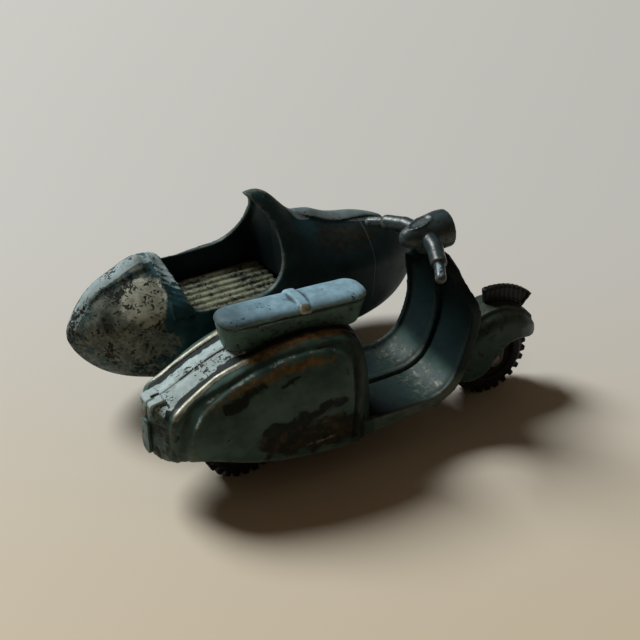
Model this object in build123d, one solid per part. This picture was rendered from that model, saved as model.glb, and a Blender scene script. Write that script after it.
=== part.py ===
from build123d import *
import os
from math import cos, hypot, pi, radians, sin

# Die-cast pocket toy: a motor scooter with a boat-shaped sidecar on its left side.
# Millimetres. +X is forward, +Y is to the scooter's left, where the sidecar runs, and +Z is up.
# Everything is drawn from the point on the ground midway between the scooter's two axles, and the
# finished pieces are then moved so that the origin is the bottom centre of the whole toy's box.

# ---- wheels and axles ------------------------------------------------------------------------
WHEEL_R = 4.75          # over the tread knobs
KNOB_HEIGHT = 0.4
KNOB_COUNT = 26         # in each of the two staggered rows
TREAD_WIDTH = 3.2
HUB_R = 2.6             # recessed disc in each side of a wheel
HUB_RECESS = 0.45
AXLE_R = 0.55
AXLE_PLAY = 0.06        # radial running clearance of a wheel on its axle
AXLE_SEAT_PLAY = 0.02   # radial clearance of a fixed axle in a casting
RIVET_HEAD_R = 0.95
RIVET_HEAD_H = 0.4
RIVET_SINK_PLAY = 0.1   # round a head that is sunk in the sidecar's base, so that the base lies flat
SIDE_PLAY = 0.2         # between a wheel's side and the lug beside it
WHEELBASE = 30.2

# ---- scooter body ----------------------------------------------------------------------------
WALL = 0.9              # casting wall of the rear body
SHEET = 0.8             # floor and leg shield
RIM_HEIGHT = 0.3        # raised rim round the rider's side of the leg shield
RIM_WIDTH = 0.6
BEAD_HEIGHT = 0.28      # raised bead and panel on the cowls
BEAD_WIDTH = 0.75
FLANGE_DROP = 0.7       # turned-down edge of the floor
SEAM_RIB_WIDTH = 0.7    # rib along the centre of floor and leg shield
SEAM_RIB_HEIGHT = 0.4
WEB_THICKNESS = 1.0     # lugs that carry the rear axle
DOWEL_R = 0.5
DOWEL_DEPTH = 1.6       # how far a dowel reaches into each half
STEM_R = 0.5

# ---- seat ------------------------------------------------------------------------------------
SEAT_LENGTH = 16.6
SEAT_WIDTH = 4.3
SEAT_TOP_Z = 17.8       # height of the piping line at the middle of the seat
SEAT_CROWN = 0.8        # height of the cushion's dome
SEAT_BASE_H = 2.9       # below the piping line
SEAT_TAPER = 0.55       # how much narrower the base is at its foot, each side
SEAT_PITCH = 3.2        # degrees, tail end up
PIPING = 0.35
STRAP_WIDTH = 1.0
STRAP_X = 0.6           # ahead of the seat's middle
STRAP_PROUD = 0.22
# The cushion's dome: share of its height, and how far in from the edge.
SEAT_DOME = [(0.0, 0.0), (0.42, 0.12), (0.76, 0.45), (0.94, 0.95), (1.0, 1.5)]

# ---- headset ---------------------------------------------------------------------------------
LAMP_R = 2.0
LAMP_Z = 21.6
LAMP_FRONT = 9.5
BAR_R = 0.9
GRIP_R = 0.58
COLLAR_R = 0.82
BAR_HALF_SPAN = 7.3
STEM_ANGLE = 28.0       # degrees from upright

# ---- front mudguard --------------------------------------------------------------------------
GUARD_R = 5.95
GUARD_FORWARD = 0.35    # its centre, ahead of the axle
GUARD_WALL = 0.6
GUARD_HALF_W = 3.0
GUARD_CREST = 0.2       # raised band along the top of the mudguard
GUARD_CREST_HALF_W = 1.7
LINK_THICKNESS = 0.55
LINK_R = 1.05
PLATE_HEIGHT = 1.8
PLATE_SPAN = (45, 96)   # degrees above forward
PLATE_THICKNESS = 0.7

# ---- rear number plate -----------------------------------------------------------------------
REAR_PLATE_WIDTH = 1.8
REAR_PLATE_HEIGHT = 3.9
REAR_PLATE_TOP_Z = 9.9
REAR_PLATE_CORNER = 0.6
REAR_PLATE_THICKNESS = 0.35

# ---- sidecar ---------------------------------------------------------------------------------
SIDECAR_Y = 18.0        # its centre line
HULL_WALL = 0.75
SCREEN_WALL = 0.9
BASE_BOTTOM_Z = 2.2
BASE_THICKNESS = 0.8
COAMING_PROUD = 0.45
PANEL_PROUD = 0.22
BENCH_TOP_Z = 9.6
BENCH_HALF_W = 5.3
BENCH_RIBS = 9
RIB_DEPTH = 0.35
RIB_GAP = 0.5
SIDE_WHEEL_GAP = 0.5    # between the hull's side and the sidecar wheel
ARM_WIDTH = 1.8
ARM_THICKNESS = 0.8
ARM_RIVET_R = 0.45

# ---- places that follow from the sizes above -------------------------------------------------
FRONT_X = WHEELBASE / 2
REAR_X = -WHEELBASE / 2
AXLE_Z = WHEEL_R
TREAD_HALF = TREAD_WIDTH / 2
BASE_TOP_Z = BASE_BOTTOM_Z + BASE_THICKNESS
RIVET_SEAT_Z = BASE_BOTTOM_Z + RIVET_HEAD_H
FAR = 60.0              # longer than anything here, for cutting tools

HOLLOW_X = (-23.0, -3.5)    # the rear body is solid behind and ahead of these
# Sections across the rear body: x, then (y, z) from the middle of the deck down one side.
COWL_SECTIONS = [
    (-24.9, [(0, 11.9), (0.5, 11.7), (0.8, 11.0), (0.9, 9.6), (0.95, 8.0), (0.9, 6.1)]),
    (-24.5, [(0, 11.95), (1.2, 11.6), (1.65, 10.9), (1.85, 9.6), (2.0, 8.0), (2.0, 5.9)]),
    (-23.9, [(0, 12.0), (1.7, 11.65), (2.6, 11.0), (3.0, 9.6), (3.3, 8.0), (3.25, 6.1)]),
    (-22.9, [(0, 12.3), (1.9, 11.9), (3.3, 11.3), (4.1, 9.8), (4.55, 8.0), (4.3, 6.5)]),
    (-21.0, [(0, 13.2), (1.95, 12.85), (3.4, 12.4), (4.7, 10.8), (5.4, 8.6), (5.1, 6.5)]),
    (-17.5, [(0, 14.75), (2.0, 14.45), (3.6, 14.1), (5.1, 12.4), (6.0, 8.8), (5.7, 5.4)]),
    (-13.0, [(0, 15.9), (2.0, 15.6), (3.8, 15.25), (5.4, 13.4), (6.35, 8.8), (6.0, 4.3)]),
    (-9.0, [(0, 16.2), (2.0, 16.0), (3.9, 15.6), (5.5, 13.6), (6.4, 8.8), (6.1, 3.7)]),
    (-5.5, [(0, 15.6), (2.0, 15.45), (3.9, 15.1), (5.5, 13.2), (6.35, 8.6), (6.1, 3.4)]),
    (-3.7, [(0, 15.0), (2.0, 14.85), (3.7, 14.5), (5.2, 12.8), (6.1, 8.5), (5.9, 3.4)]),
    (-2.9, [(0, 14.5), (1.9, 14.3), (3.3, 13.9), (4.7, 12.3), (5.5, 8.4), (5.3, 3.6)]),
    (-2.6, [(0, 14.1), (1.7, 13.9), (2.9, 13.4), (4.1, 11.9), (4.9, 8.4), (4.7, 3.8)]),
]
# Bead and bulged panel on each cowl, in side view: up over the tail, along the top, down the front.
BEAD_LINE = [(-23.9, 6.4), (-23.75, 9.3), (-23.1, 11.2), (-19.6, 13.6), (-15.8, 15.0), (-11.6, 15.8),
             (-7.4, 15.7), (-4.7, 15.1)]
BEAD_FRONT = [(-3.75, 13.4), (-4.9, 3.3)]
PANEL_LINE = [(-22.5, 6.3), (-22.3, 9.6), (-21.1, 11.3), (-19.7, 12.4), (-16.1, 14.1), (-11.8, 15.0),
              (-9.1, 15.1), (-6.6, 14.6), (-5.5, 13.7)]
PANEL_FRONT = [(-5.1, 12.6), (-5.5, 3.3)]

# The rider's side of floor and leg shield, in side view.
FLOOR_Z = 5.4
FLOOR_BACK_X = -4.0
SHIELD_LINE = [(3.6, FLOOR_Z), (5.6, 5.75), (7.1, 6.75), (8.2, 8.7), (9.0, 11.5), (9.1, 13.6), (8.7, 16.2),
               (8.15, 18.2), (7.6, 20.0)]
# Half width of floor and leg shield at each height.
SHIELD_WIDTHS = [(6.3, 3.0), (6.3, 5.4), (6.05, 7.4), (5.95, 9.2), (6.1, 11.2), (6.45, 13.2), (6.6, 14.7),
                 (6.2, 15.9), (5.15, 16.7), (4.35, 17.5), (3.8, 18.4), (2.7, 19.3), (1.3, 19.85), (0, 20.0)]

# The casing in front of the leg shield that the steering stem runs down in, in side view.
HORN_HALF_W = 1.7
HORN_ROUNDING = 0.5
HORN_LINE = [(8.2, 19.3), (9.2, 19.1), (10.5, 17.0), (12.0, 13.2), (12.2, 10.6), (9.1, 9.6), (9.4, 11.5),
             (9.5, 13.6), (9.1, 16.2)]

# Sections across the sidecar: x, half width, height of the widest line, top, bottom, and how
# round the upper part is (1 is a gable, 2 is an ellipse).
HULL_SECTIONS = [
    (-26.4, 0.35, 10.0, 10.7, 9.2, 1.6),
    (-25.4, 1.7, 10.4, 12.2, 7.2, 1.6),
    (-23.9, 3.2, 10.9, 13.9, 5.5, 1.5),
    (-22.0, 4.5, 11.4, 15.3, 4.2, 1.45),
    (-19.5, 5.7, 11.9, 16.4, 3.2, 1.35),
    (-16.9, 6.45, 12.2, 16.95, 2.4, 1.25),
    (-14.5, 6.85, 12.35, 17.1, 2.0, 1.2),
    (-9.0, 7.0, 12.35, 20.0, 1.8, 1.25),
    (-4.2, 6.75, 12.3, 21.6, 1.8, 1.3),
    (-2.6, 6.6, 12.3, 21.2, 1.8, 1.3),
    (-0.9, 6.55, 12.2, 19.6, 1.8, 1.3),
    (1.6, 6.4, 12.0, 17.6, 1.8, 1.3),
    (5.0, 6.05, 11.7, 16.35, 1.9, 1.35),
    (8.5, 5.4, 11.2, 15.5, 2.2, 1.4),
    (11.5, 4.4, 10.7, 14.5, 2.8, 1.5),
    (14.0, 3.0, 10.0, 13.0, 3.9, 1.6),
    (15.8, 1.6, 9.2, 11.2, 5.6, 1.7),
    (16.7, 0.5, 8.7, 9.6, 7.6, 1.8),
]
HULL_BELLY = 2.3        # how round the lower part is
# The cockpit's opening in side view: coaming, rim, then up the edge of the windscreen.
COCKPIT_LINE = [(-16.0, 18.2), (-15.3, 16.4), (-14.7, 14.4), (-14.2, 12.9), (-12.6, 12.4), (-8.5, 12.3),
                (-6.6, 12.4), (-5.2, 12.7), (-4.2, 13.3), (-3.3, 14.4), (-2.8, 16.0), (-2.75, 17.4),
                (-3.3, 19.3), (-4.5, 20.9), (-6.2, 22.2)]
COAMING_X = (-16.7, -14.2)
# The wall behind the windscreen, in side view on the centre line; it sweeps back to each side.
SCREEN_LINE = [(-0.9, BENCH_TOP_Z + 0.1), (-1.3, 12.0), (-1.6, 14.5), (-1.85, 17.0), (-2.6, 19.2),
               (-3.7, 20.9), (-5.0, 22.4)]
SCREEN_SWEEP = 0.13
BOOT_PANEL = [(-25.6, 0.4), (-24.3, 0.75), (-22.0, 1.2), (-20.0, 1.5), (-17.6, 1.7)]
BONNET_PANEL = [(1.2, 0.5), (2.6, 1.2), (5.0, 1.35), (7.8, 1.15), (10.3, 0.75), (12.6, 0.3)]
BENCH_X = (-13.0, -1.0)
FRONT_ARM_X = -1.4
REAR_ARM_X = -14.5
ARM_SCOOTER_Y = 4.6
ARM_SIDECAR_Y = SIDECAR_Y - 2.6
BASE_POSTS_X = (-16.2, 9.5)


# ---- helpers ---------------------------------------------------------------------------------
def rod(radius, start, end):
    """A plain cylinder between two points."""
    start, end = Vector(*start), Vector(*end)
    plane = Plane(origin=start, z_dir=end - start)
    return plane * Cylinder(radius, (end - start).length, align=(Align.CENTER, Align.CENTER, Align.MIN))


def block(x, y, z):
    """A box given as three (low, high) pairs."""
    corner = Location((x[0], y[0], z[0]))
    return corner * Box(x[1] - x[0], y[1] - y[0], z[1] - z[0], align=(Align.MIN, Align.MIN, Align.MIN))


def pin_y(radius, x, z, y0, y1):
    """A cylinder along Y."""
    return rod(radius, (x, y0, z), (x, y1, z))


def moved_out(points, distance):
    """The points of a line in side view, each moved square to the line, to its right."""
    result = []
    for i, (x, z) in enumerate(points):
        x0, z0 = points[max(i - 1, 0)]
        x1, z1 = points[min(i + 1, len(points) - 1)]
        length = hypot(x1 - x0, z1 - z0)
        result.append((x + distance * (z1 - z0) / length, z - distance * (x1 - x0) / length))
    return result


def side_face(*edges):
    """A face in the XZ plane from edges drawn there."""
    return Face(Wire(list(edges)))


def xz(points):
    return [(x, 0, z) for x, z in points]


def through_y(face, y0, y1):
    """A face of the XZ plane, made solid from y0 to y1."""
    return Location((0, y0, 0)) * extrude(face, amount=y1 - y0, dir=(0, 1, 0))


def side_prism(points, y0, y1):
    """A polygon in side view, made solid from y0 to y1."""
    return through_y(side_face(*Polyline(*xz(points), close=True).edges()), y0, y1)


def left_of(solid):
    return solid & block((-FAR, FAR), (0, FAR), (-FAR, FAR))


def right_of(solid):
    return solid & block((-FAR, FAR), (-FAR, 0), (-FAR, FAR))


# ---- rear body -------------------------------------------------------------------------------
def cowl_section(x, half, grow):
    """A section across the rear body, grown by a distance: smooth over the top, flat below."""
    half = [(y + (grow if y else 0), z + grow * max(0.0, 1 - y / 5)) for y, z in half]
    foot_y, foot_z = half[-1]
    half[-1] = (foot_y, foot_z - (1.0 if grow < 0 else 0.0))
    over = [(x, -y, z) for y, z in reversed(half)] + [(x, y, z) for y, z in half[1:]]
    return Face(Wire([Spline(*over), Line(over[-1], over[0])]))


def cowl_loft(grow):
    """The rear body grown by a distance, or with a negative one the space inside it."""
    faces = []
    for i, (x, half) in enumerate(COWL_SECTIONS):
        if grow < 0 and not HOLLOW_X[0] < x < HOLLOW_X[1]:
            continue
        if i == 0:
            x -= grow
        if i == len(COWL_SECTIONS) - 1:
            x += grow
        faces.append(cowl_section(x, half, grow))
    return loft(faces)


def bead():
    """The raised bead: a band that follows the cowl's outline, as high as its own crest."""
    half = BEAD_WIDTH / 2
    outer_top, inner_top = moved_out(BEAD_LINE, -half), moved_out(BEAD_LINE, half)
    outer_front, inner_front = moved_out(BEAD_FRONT, -half), moved_out(BEAD_FRONT, half)
    outline = [
        Spline(*xz(outer_top + outer_front[:1])),
        Line(*xz(outer_front)),
        Line(*xz([outer_front[1], inner_front[1]])),
        Line(*xz(inner_front[::-1])),
        Spline(*xz(inner_front[:1] + inner_top[::-1])),
        Line(*xz([inner_top[0], outer_top[0]])),
    ]
    return through_y(side_face(*outline), -FAR / 2, FAR / 2)


def bulged_panel():
    """The panel that the bead frames, down to the cowl's foot."""
    foot = [PANEL_FRONT[1], (PANEL_LINE[0][0], PANEL_FRONT[1][1])]
    outline = [Spline(*xz(PANEL_LINE + PANEL_FRONT[:1])), Line(*xz(PANEL_FRONT)), Line(*xz(foot)),
               Line(*xz([foot[1], PANEL_LINE[0]]))]
    return through_y(side_face(*outline), -FAR / 2, FAR / 2)


def rear_body():
    """The hollow cowls and deck, with bead and panel outside and lugs for the rear axle inside."""
    outer = cowl_loft(0)
    proud = (bead() + bulged_panel()) & cowl_loft(BEAD_HEIGHT)
    deck = block((-FAR, FAR), (-2.6, 2.6), (-FAR, FAR))
    hollow = cowl_loft(-WALL)
    lug_y = TREAD_HALF + SIDE_PLAY
    lugs = block((REAR_X - 1.6, REAR_X + 1.6), (lug_y, lug_y + WEB_THICKNESS), (AXLE_Z - 1.4, FAR))
    lugs += mirror(lugs, Plane.XZ)
    lugs &= outer + block((REAR_X - FAR, REAR_X + FAR), (-FAR, FAR), (-FAR, AXLE_Z))
    return outer - hollow + (proud - deck - hollow) + lugs


# ---- floor and leg shield --------------------------------------------------------------------
def shield_band(near, far):
    """The sheet's side view between two distances in front of the rider's surface."""
    a, b = moved_out(SHIELD_LINE, near), moved_out(SHIELD_LINE, far)
    a[0], b[0] = (SHIELD_LINE[0][0], FLOOR_Z - near), (SHIELD_LINE[0][0], FLOOR_Z - far)
    back_a, back_b = (FLOOR_BACK_X, FLOOR_Z - near), (FLOOR_BACK_X, FLOOR_Z - far)
    return side_face(Line(*xz([back_a, a[0]])), Spline(*xz(a)), Line(*xz([a[-1], b[-1]])),
                     Spline(*xz(b[::-1])), Line(*xz([b[0], back_b])), Line(*xz([back_b, back_a])))


def shield_outline(inset):
    """Front view of floor and leg shield, made solid along X."""
    side = [(max(y - inset, 0), z - (inset if y < 5.5 else 0)) for y, z in SHIELD_WIDTHS]
    over = [(0, -y, z) for y, z in side[:-1]] + [(0, y, z) for y, z in side[::-1]]
    face = Face(Wire([Spline(*over), Line(over[-1], over[0])]))
    return Location((-FAR / 2, 0, 0)) * extrude(face, amount=FAR, dir=(1, 0, 0))


def leg_shield():
    width = FAR / 2
    sheet = through_y(shield_band(0, SHEET), -width, width) & shield_outline(0)
    border = shield_outline(0) - shield_outline(RIM_WIDTH)
    rim = through_y(shield_band(-RIM_HEIGHT, 0), -width, width) & border
    flange_line = [(FLOOR_BACK_X, FLOOR_Z - SHEET / 2), (5.4, FLOOR_Z - SHEET / 2), (5.4, FLOOR_Z - SHEET),
                   (FLOOR_BACK_X, FLOOR_Z - SHEET - FLANGE_DROP)]
    flange = side_prism(flange_line, -width, width) & (shield_outline(0) - shield_outline(SHEET))
    horn = side_prism(HORN_LINE, -HORN_HALF_W, HORN_HALF_W)
    front_x, foot_z = HORN_LINE[1][0] + 0.4, HORN_LINE[4][1]
    front_edges = horn.faces().filter_by(Axis.Y).edges().filter_by(lambda e: e.center().X > front_x)
    horn = fillet(front_edges.filter_by(lambda e: e.center().Z > foot_z), HORN_ROUNDING)
    rib = through_y(shield_band(-SEAM_RIB_HEIGHT, 0), 0, SEAM_RIB_WIDTH)
    rib &= block((FLOOR_BACK_X + 1, FAR), (-FAR, FAR), (0, 19.0))
    return sheet + rim + flange + horn + rib


# ---- the two halves of the scooter -----------------------------------------------------------
def stem_point(distance):
    """A point on the steering axis, so far below the headset."""
    return (6.6 + distance * sin(radians(STEM_ANGLE)), 0, LAMP_Z - distance * cos(radians(STEM_ANGLE)))


DOWELS = [(-21.5, 10.2), (-6.5, 12.0)]


def dowel_post(x, z):
    return pin_y(DOWEL_R + WALL / 2, x, z, -DOWEL_DEPTH - WALL, DOWEL_DEPTH + WALL)


def arm_boss(x):
    """The foot under the left half that an arm of the sidecar is riveted to."""
    top = FLOOR_Z - SHEET / 2 if x > FLOOR_BACK_X else 6.5
    half = ARM_WIDTH / 2 + 0.3
    return block((x - half, x + half), (ARM_SCOOTER_Y - half, ARM_SCOOTER_Y + half + 0.1),
                 (BASE_TOP_Z + ARM_THICKNESS, top))


def scooter_body():
    """Both halves as one, before they are parted along the middle."""
    body = rear_body() + (leg_shield() - cowl_loft(-WALL))
    for x, z in DOWELS:
        web = block((x - 0.5, x + 0.5), (-DOWEL_DEPTH - WALL, DOWEL_DEPTH + WALL), (z, FAR)) & cowl_loft(0)
        body += dowel_post(x, z) + web
    body += arm_boss(FRONT_ARM_X)
    body += arm_boss(REAR_ARM_X)
    for x, z in DOWELS:
        body -= pin_y(DOWEL_R, x, z, -DOWEL_DEPTH, DOWEL_DEPTH)
    body -= seat_base()
    body -= rod(STEM_R, stem_point(-2), stem_point(30))
    body -= pin_y(AXLE_R + AXLE_SEAT_PLAY, REAR_X, AXLE_Z, -4.0, 4.0)
    for x in (FRONT_ARM_X, REAR_ARM_X):
        body -= rod(ARM_RIVET_R, (x, ARM_SCOOTER_Y, 0), (x, ARM_SCOOTER_Y, BASE_TOP_Z + ARM_THICKNESS + 1.2))
    return body


def body_dowels():
    return [pin_y(DOWEL_R, x, z, -DOWEL_DEPTH, DOWEL_DEPTH) for x, z in DOWELS]


# ---- seat ------------------------------------------------------------------------------------
def seat_frame():
    """The plane of the piping line: its middle, tilted a little."""
    return Location((-8.7, 0, SEAT_TOP_Z), (0, SEAT_PITCH, 0))


def seat_plan(length, width):
    return RectangleRounded(length, width, width / 2 - 0.25)


def seat_base():
    """The seat's sides, drawn in towards the foot, which stands in a bed in the deck."""
    foot = Location((0, 0, -SEAT_BASE_H)) * seat_plan(SEAT_LENGTH - 2 * SEAT_TAPER - 0.6,
                                                     SEAT_WIDTH - 2 * SEAT_TAPER)
    waist = Location((0, 0, -PIPING)) * seat_plan(SEAT_LENGTH - PIPING, SEAT_WIDTH - PIPING)
    return seat_frame() * loft([foot, waist])


def seat_dome(grow):
    """The domed cushion above the piping line, grown by a distance."""
    faces = []
    for share, inset in SEAT_DOME:
        level = Location((0, 0, share * (SEAT_CROWN + grow)))
        faces.append(level * seat_plan(SEAT_LENGTH + 2 * (grow - inset), SEAT_WIDTH + 2 * (grow - inset)))
    return loft(faces)


def bench_seat():
    """One casting: tapered base, piping groove, domed cushion and a strap across it."""
    inner_plan = seat_plan(SEAT_LENGTH - 2 * PIPING, SEAT_WIDTH - 2 * PIPING)
    groove = Location((0, 0, -PIPING)) * extrude(inner_plan, PIPING)
    strap_x = (STRAP_X - STRAP_WIDTH / 2, STRAP_X + STRAP_WIDTH / 2)
    strap = seat_dome(STRAP_PROUD) & block(strap_x, (-FAR, FAR), (-FAR, FAR))
    return seat_base() + seat_frame() * (groove + seat_dome(0) + strap)


# ---- headset ---------------------------------------------------------------------------------
def bar_points(side):
    """The handlebar's line from the headset to the grip's end, swept back and down."""
    return [(6.7, side * 0.8, LAMP_Z - 0.05), (6.3, side * 2.9, LAMP_Z - 0.2),
            (5.4, side * 5.0, LAMP_Z - 0.6), (4.2, side * BAR_HALF_SPAN, LAMP_Z - 1.3)]


def handlebar(side):
    root, knee, collar, tip = bar_points(side)
    arm = rod(BAR_R, root, knee) + Location(knee) * Sphere(BAR_R) + rod(BAR_R * 0.95, knee, collar)
    direction = (Vector(*tip) - Vector(*collar)).normalized()
    start = Vector(*collar) - direction * 0.25
    ring = rod(COLLAR_R, start, Vector(*collar) + direction * 0.25)
    end = Vector(*tip) - direction * GRIP_R
    grip = rod(GRIP_R, collar, end) + Location(end) * Sphere(GRIP_R)
    return arm + ring + grip


def headset():
    """Lamp shell, fairing, bars and grips in one casting, with an oval dial sunk in its top."""
    x = LAMP_FRONT
    line = [(x + 0.35, 0), (x + 0.2, LAMP_R * 0.55), (x, LAMP_R * 0.82)]
    shell = [(x, LAMP_R * 0.82), (x, LAMP_R), (x - 0.9, LAMP_R + 0.03)]
    back = [shell[-1], (x - 2.4, LAMP_R * 0.9), (x - 3.9, LAMP_R * 0.68), (x - 4.9, LAMP_R * 0.5)]
    lens = Spline(*[(a, 0, r) for a, r in line])
    bezel = Polyline(*[(a, 0, r) for a, r in shell])
    taper = Spline(*[(a, 0, r) for a, r in back])
    end_x, end_r = back[-1]
    tail = Spline((end_x, 0, end_r), (end_x - 0.45, 0, end_r * 0.6), (end_x - 0.6, 0, 0))
    axis_line = Line((end_x - 0.6, 0, 0), (x + 0.35, 0, 0))
    profile = Face(Wire([lens, *bezel.edges(), taper, tail, axis_line]))
    lamp = Location((0, 0, LAMP_Z)) * revolve(profile, Axis.X, 360)
    neck_top, neck_foot = stem_point(0.2), stem_point(1.55)
    neck = rod(1.35, neck_top, neck_foot)
    dial_frame = Location((6.3, 0, LAMP_Z + 1.33), (0, -17, 0))
    dial_rim = dial_frame * extrude(Ellipse(1.45, 0.85), 0.22)
    dial_sink = dial_frame * (Location((0, 0, 0.1)) * extrude(Ellipse(1.2, 0.62), 2))
    body = lamp + handlebar(1) + handlebar(-1) + neck + dial_rim - dial_sink
    return body - rod(STEM_R, stem_point(0.9), stem_point(4))


def steering_stem():
    """Pin down the steering axis that holds headset, body and mudguard together."""
    return rod(STEM_R, stem_point(0.9), stem_point(12.9))


# ---- front mudguard --------------------------------------------------------------------------
def guard_barrel(radius, half_width):
    """A barrel round the front axle."""
    line = [(0, radius), (half_width * 0.4, radius - 0.07), (half_width * 0.72, radius - 0.4),
            (half_width * 0.93, radius - 1.1), (half_width, radius - 2.2), (half_width, radius * 0.35)]
    over = [(r, -y, 0) for y, r in line[:0:-1]] + [(r, y, 0) for y, r in line]
    close = Polyline(over[-1], (0, half_width, 0), (0, -half_width, 0), over[0])
    face = Face(Wire([Spline(*over), *close.edges()]))
    return Location((FRONT_X + GUARD_FORWARD, 0, AXLE_Z)) * revolve(face, Axis.Y, 360)


def guard_plan():
    """Plan view of the mudguard, made solid upwards: its sides and a rounded front."""
    w, x = GUARD_HALF_W + 0.3, FRONT_X + GUARD_FORWARD
    side = [(x, w), (x + 2.6, w * 0.9), (x + 4.4, w * 0.7), (x + 5.5, w * 0.4), (x + GUARD_R + 0.1, 0)]
    over = side + [(a, -b) for a, b in side[-2::-1]]
    back = Polyline((x, -w), (x - GUARD_R - 1, -w), (x - GUARD_R - 1, w), (x, w))
    face = Face(Wire([Spline(*over), *back.edges()]))
    return Location((0, 0, -FAR / 2)) * extrude(face, FAR, dir=(0, 0, 1))


def guard_below():
    """Everything under the mudguard's lower edge."""
    x, z = FRONT_X, AXLE_Z
    arch = [(x + 8, z + 1.2), (x + 6.2, z + 1.25), (x + 4.3, z + 1.7), (x + 2.3, z + 2.15),
            (x + 0.6, z + 1.5), (x - 0.7, z + 0.15), (x - 2.0, z - 1.15), (x - 3.6, z - 1.4),
            (x - 8, z - 1.3)]
    close = Polyline(*xz([arch[-1], (x - 8, -9), (x + 8, -9), arch[0]]))
    return through_y(side_face(Spline(*xz(arch)), *close.edges()), -9, 9)


def front_mudguard(body):
    """The hood over the front wheel with the two fork links that hold its axle."""
    hood = guard_barrel(GUARD_R, GUARD_HALF_W) & guard_plan()
    crest = guard_barrel(GUARD_R + GUARD_CREST, GUARD_HALF_W + 1)
    band = GUARD_CREST_HALF_W
    crest &= block((FRONT_X - GUARD_R, FRONT_X + GUARD_R - 0.8), (-band, band), (AXLE_Z, FAR))
    hood += crest
    inside = guard_barrel(GUARD_R - GUARD_WALL, GUARD_HALF_W - GUARD_WALL)
    hood = hood - inside - guard_below()
    y0 = TREAD_HALF + SIDE_PLAY
    y1 = y0 + LINK_THICKNESS
    link_line = [(FRONT_X - LINK_R, AXLE_Z), (FRONT_X + LINK_R, AXLE_Z), (FRONT_X + 1.6, AXLE_Z + 4.2),
                 (FRONT_X - 2.6, AXLE_Z + 4.2)]
    link = side_prism(link_line, y0, y1) + pin_y(LINK_R, FRONT_X, AXLE_Z, y0, y1)
    links = link + mirror(link, Plane.XZ)
    crown = rod(1.1, stem_point(11.4), stem_point(12.9)) & (guard_barrel(GUARD_R, GUARD_HALF_W))
    guard = hood + (links & guard_barrel(GUARD_R - 0.1, GUARD_HALF_W)) + crown
    guard -= pin_y(AXLE_R + AXLE_SEAT_PLAY, FRONT_X, AXLE_Z, -FAR, FAR)
    guard -= rod(STEM_R, stem_point(5), stem_point(12.9))
    return guard - body


def ring_sector(r0, r1, start, end, y0, y1):
    """A stretch of a flat ring round the mudguard's centre, between two angles above forward."""
    def at(r, a):
        return (FRONT_X + GUARD_FORWARD + r * cos(radians(a)), 0, AXLE_Z + r * sin(radians(a)))
    mid = (start + end) / 2
    outline = [ThreePointArc(at(r0, start), at(r0, mid), at(r0, end)), Line(at(r0, end), at(r1, end)),
               ThreePointArc(at(r1, end), at(r1, mid), at(r1, start)), Line(at(r1, start), at(r0, start))]
    return through_y(side_face(*outline), y0, y1)


def front_number_plate():
    """Curved blank plate that stands along the mudguard's crest, with a raised border."""
    foot_r = GUARD_R + GUARD_CREST
    half = PLATE_THICKNESS / 2
    top_r = foot_r + PLATE_HEIGHT
    start, end = PLATE_SPAN
    plate = ring_sector(foot_r, top_r, start, end, -half, half)
    sunk = ring_sector(foot_r + 0.3, top_r - 0.25, start + 3, end - 3, -half, -half + 0.15)
    sunk += ring_sector(foot_r + 0.3, top_r - 0.25, start + 3, end - 3, half - 0.15, half)
    return plate - sunk


# ---- wheels and axles ------------------------------------------------------------------------
def wheel():
    """One-piece wheel: two rows of staggered knobs round the tread and a hub dished each side."""
    core_r = WHEEL_R - KNOB_HEIGHT
    line = [(0, -TREAD_HALF + HUB_RECESS), (HUB_R, -TREAD_HALF + HUB_RECESS), (HUB_R + 0.3, -TREAD_HALF),
            (core_r - 0.55, -TREAD_HALF), (core_r - 0.1, -TREAD_HALF + 0.4), (core_r, -TREAD_HALF + 0.9),
            (core_r, TREAD_HALF - 0.9), (core_r - 0.1, TREAD_HALF - 0.4), (core_r - 0.55, TREAD_HALF),
            (HUB_R + 0.3, TREAD_HALF), (HUB_R, TREAD_HALF - HUB_RECESS), (0, TREAD_HALF - HUB_RECESS)]
    body = revolve(Face(Wire(Polyline(*[(r, a, 0) for r, a in line], close=True).edges())), Axis.Y, 360)
    boss = pin_y(AXLE_R + 0.75, 0, 0, -TREAD_HALF, TREAD_HALF)
    pitch = 360 / KNOB_COUNT
    knob_length = 2 * pi * WHEEL_R / KNOB_COUNT * 0.55
    knob_width = TREAD_HALF - 0.35
    knobs = []
    for row, phase in ((-1, 0.0), (1, 0.5)):
        for k in range(KNOB_COUNT):
            knob = Location((0, row * (TREAD_HALF / 2), core_r + KNOB_HEIGHT / 2 - 0.3)) * Box(
                knob_length, knob_width, KNOB_HEIGHT + 0.6)
            knobs.append(Rotation(0, (k + phase) * pitch, 0) * knob)
    rim = pin_y(WHEEL_R, 0, 0, -TREAD_HALF, TREAD_HALF)
    whole = (body + boss + knobs) & rim
    whole -= pin_y(AXLE_R + AXLE_PLAY, 0, 0, -FAR, FAR)
    return whole


def axle(x, y0, y1):
    """A plain pin with a domed rivet head at each end, its shank between the heads."""
    shank = pin_y(AXLE_R, x, AXLE_Z, y0, y1)
    heads = []
    for y, turn in ((y0, 90), (y1, -90)):
        head = Cylinder(RIVET_HEAD_R, RIVET_HEAD_H, align=(Align.CENTER, Align.CENTER, Align.MIN))
        head = fillet(head.faces().sort_by(Axis.Z)[-1].edges(), RIVET_HEAD_H * 0.7)
        heads.append(Location((x, y, AXLE_Z), (turn, 0, 0)) * head)
    return shank + heads


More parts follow.
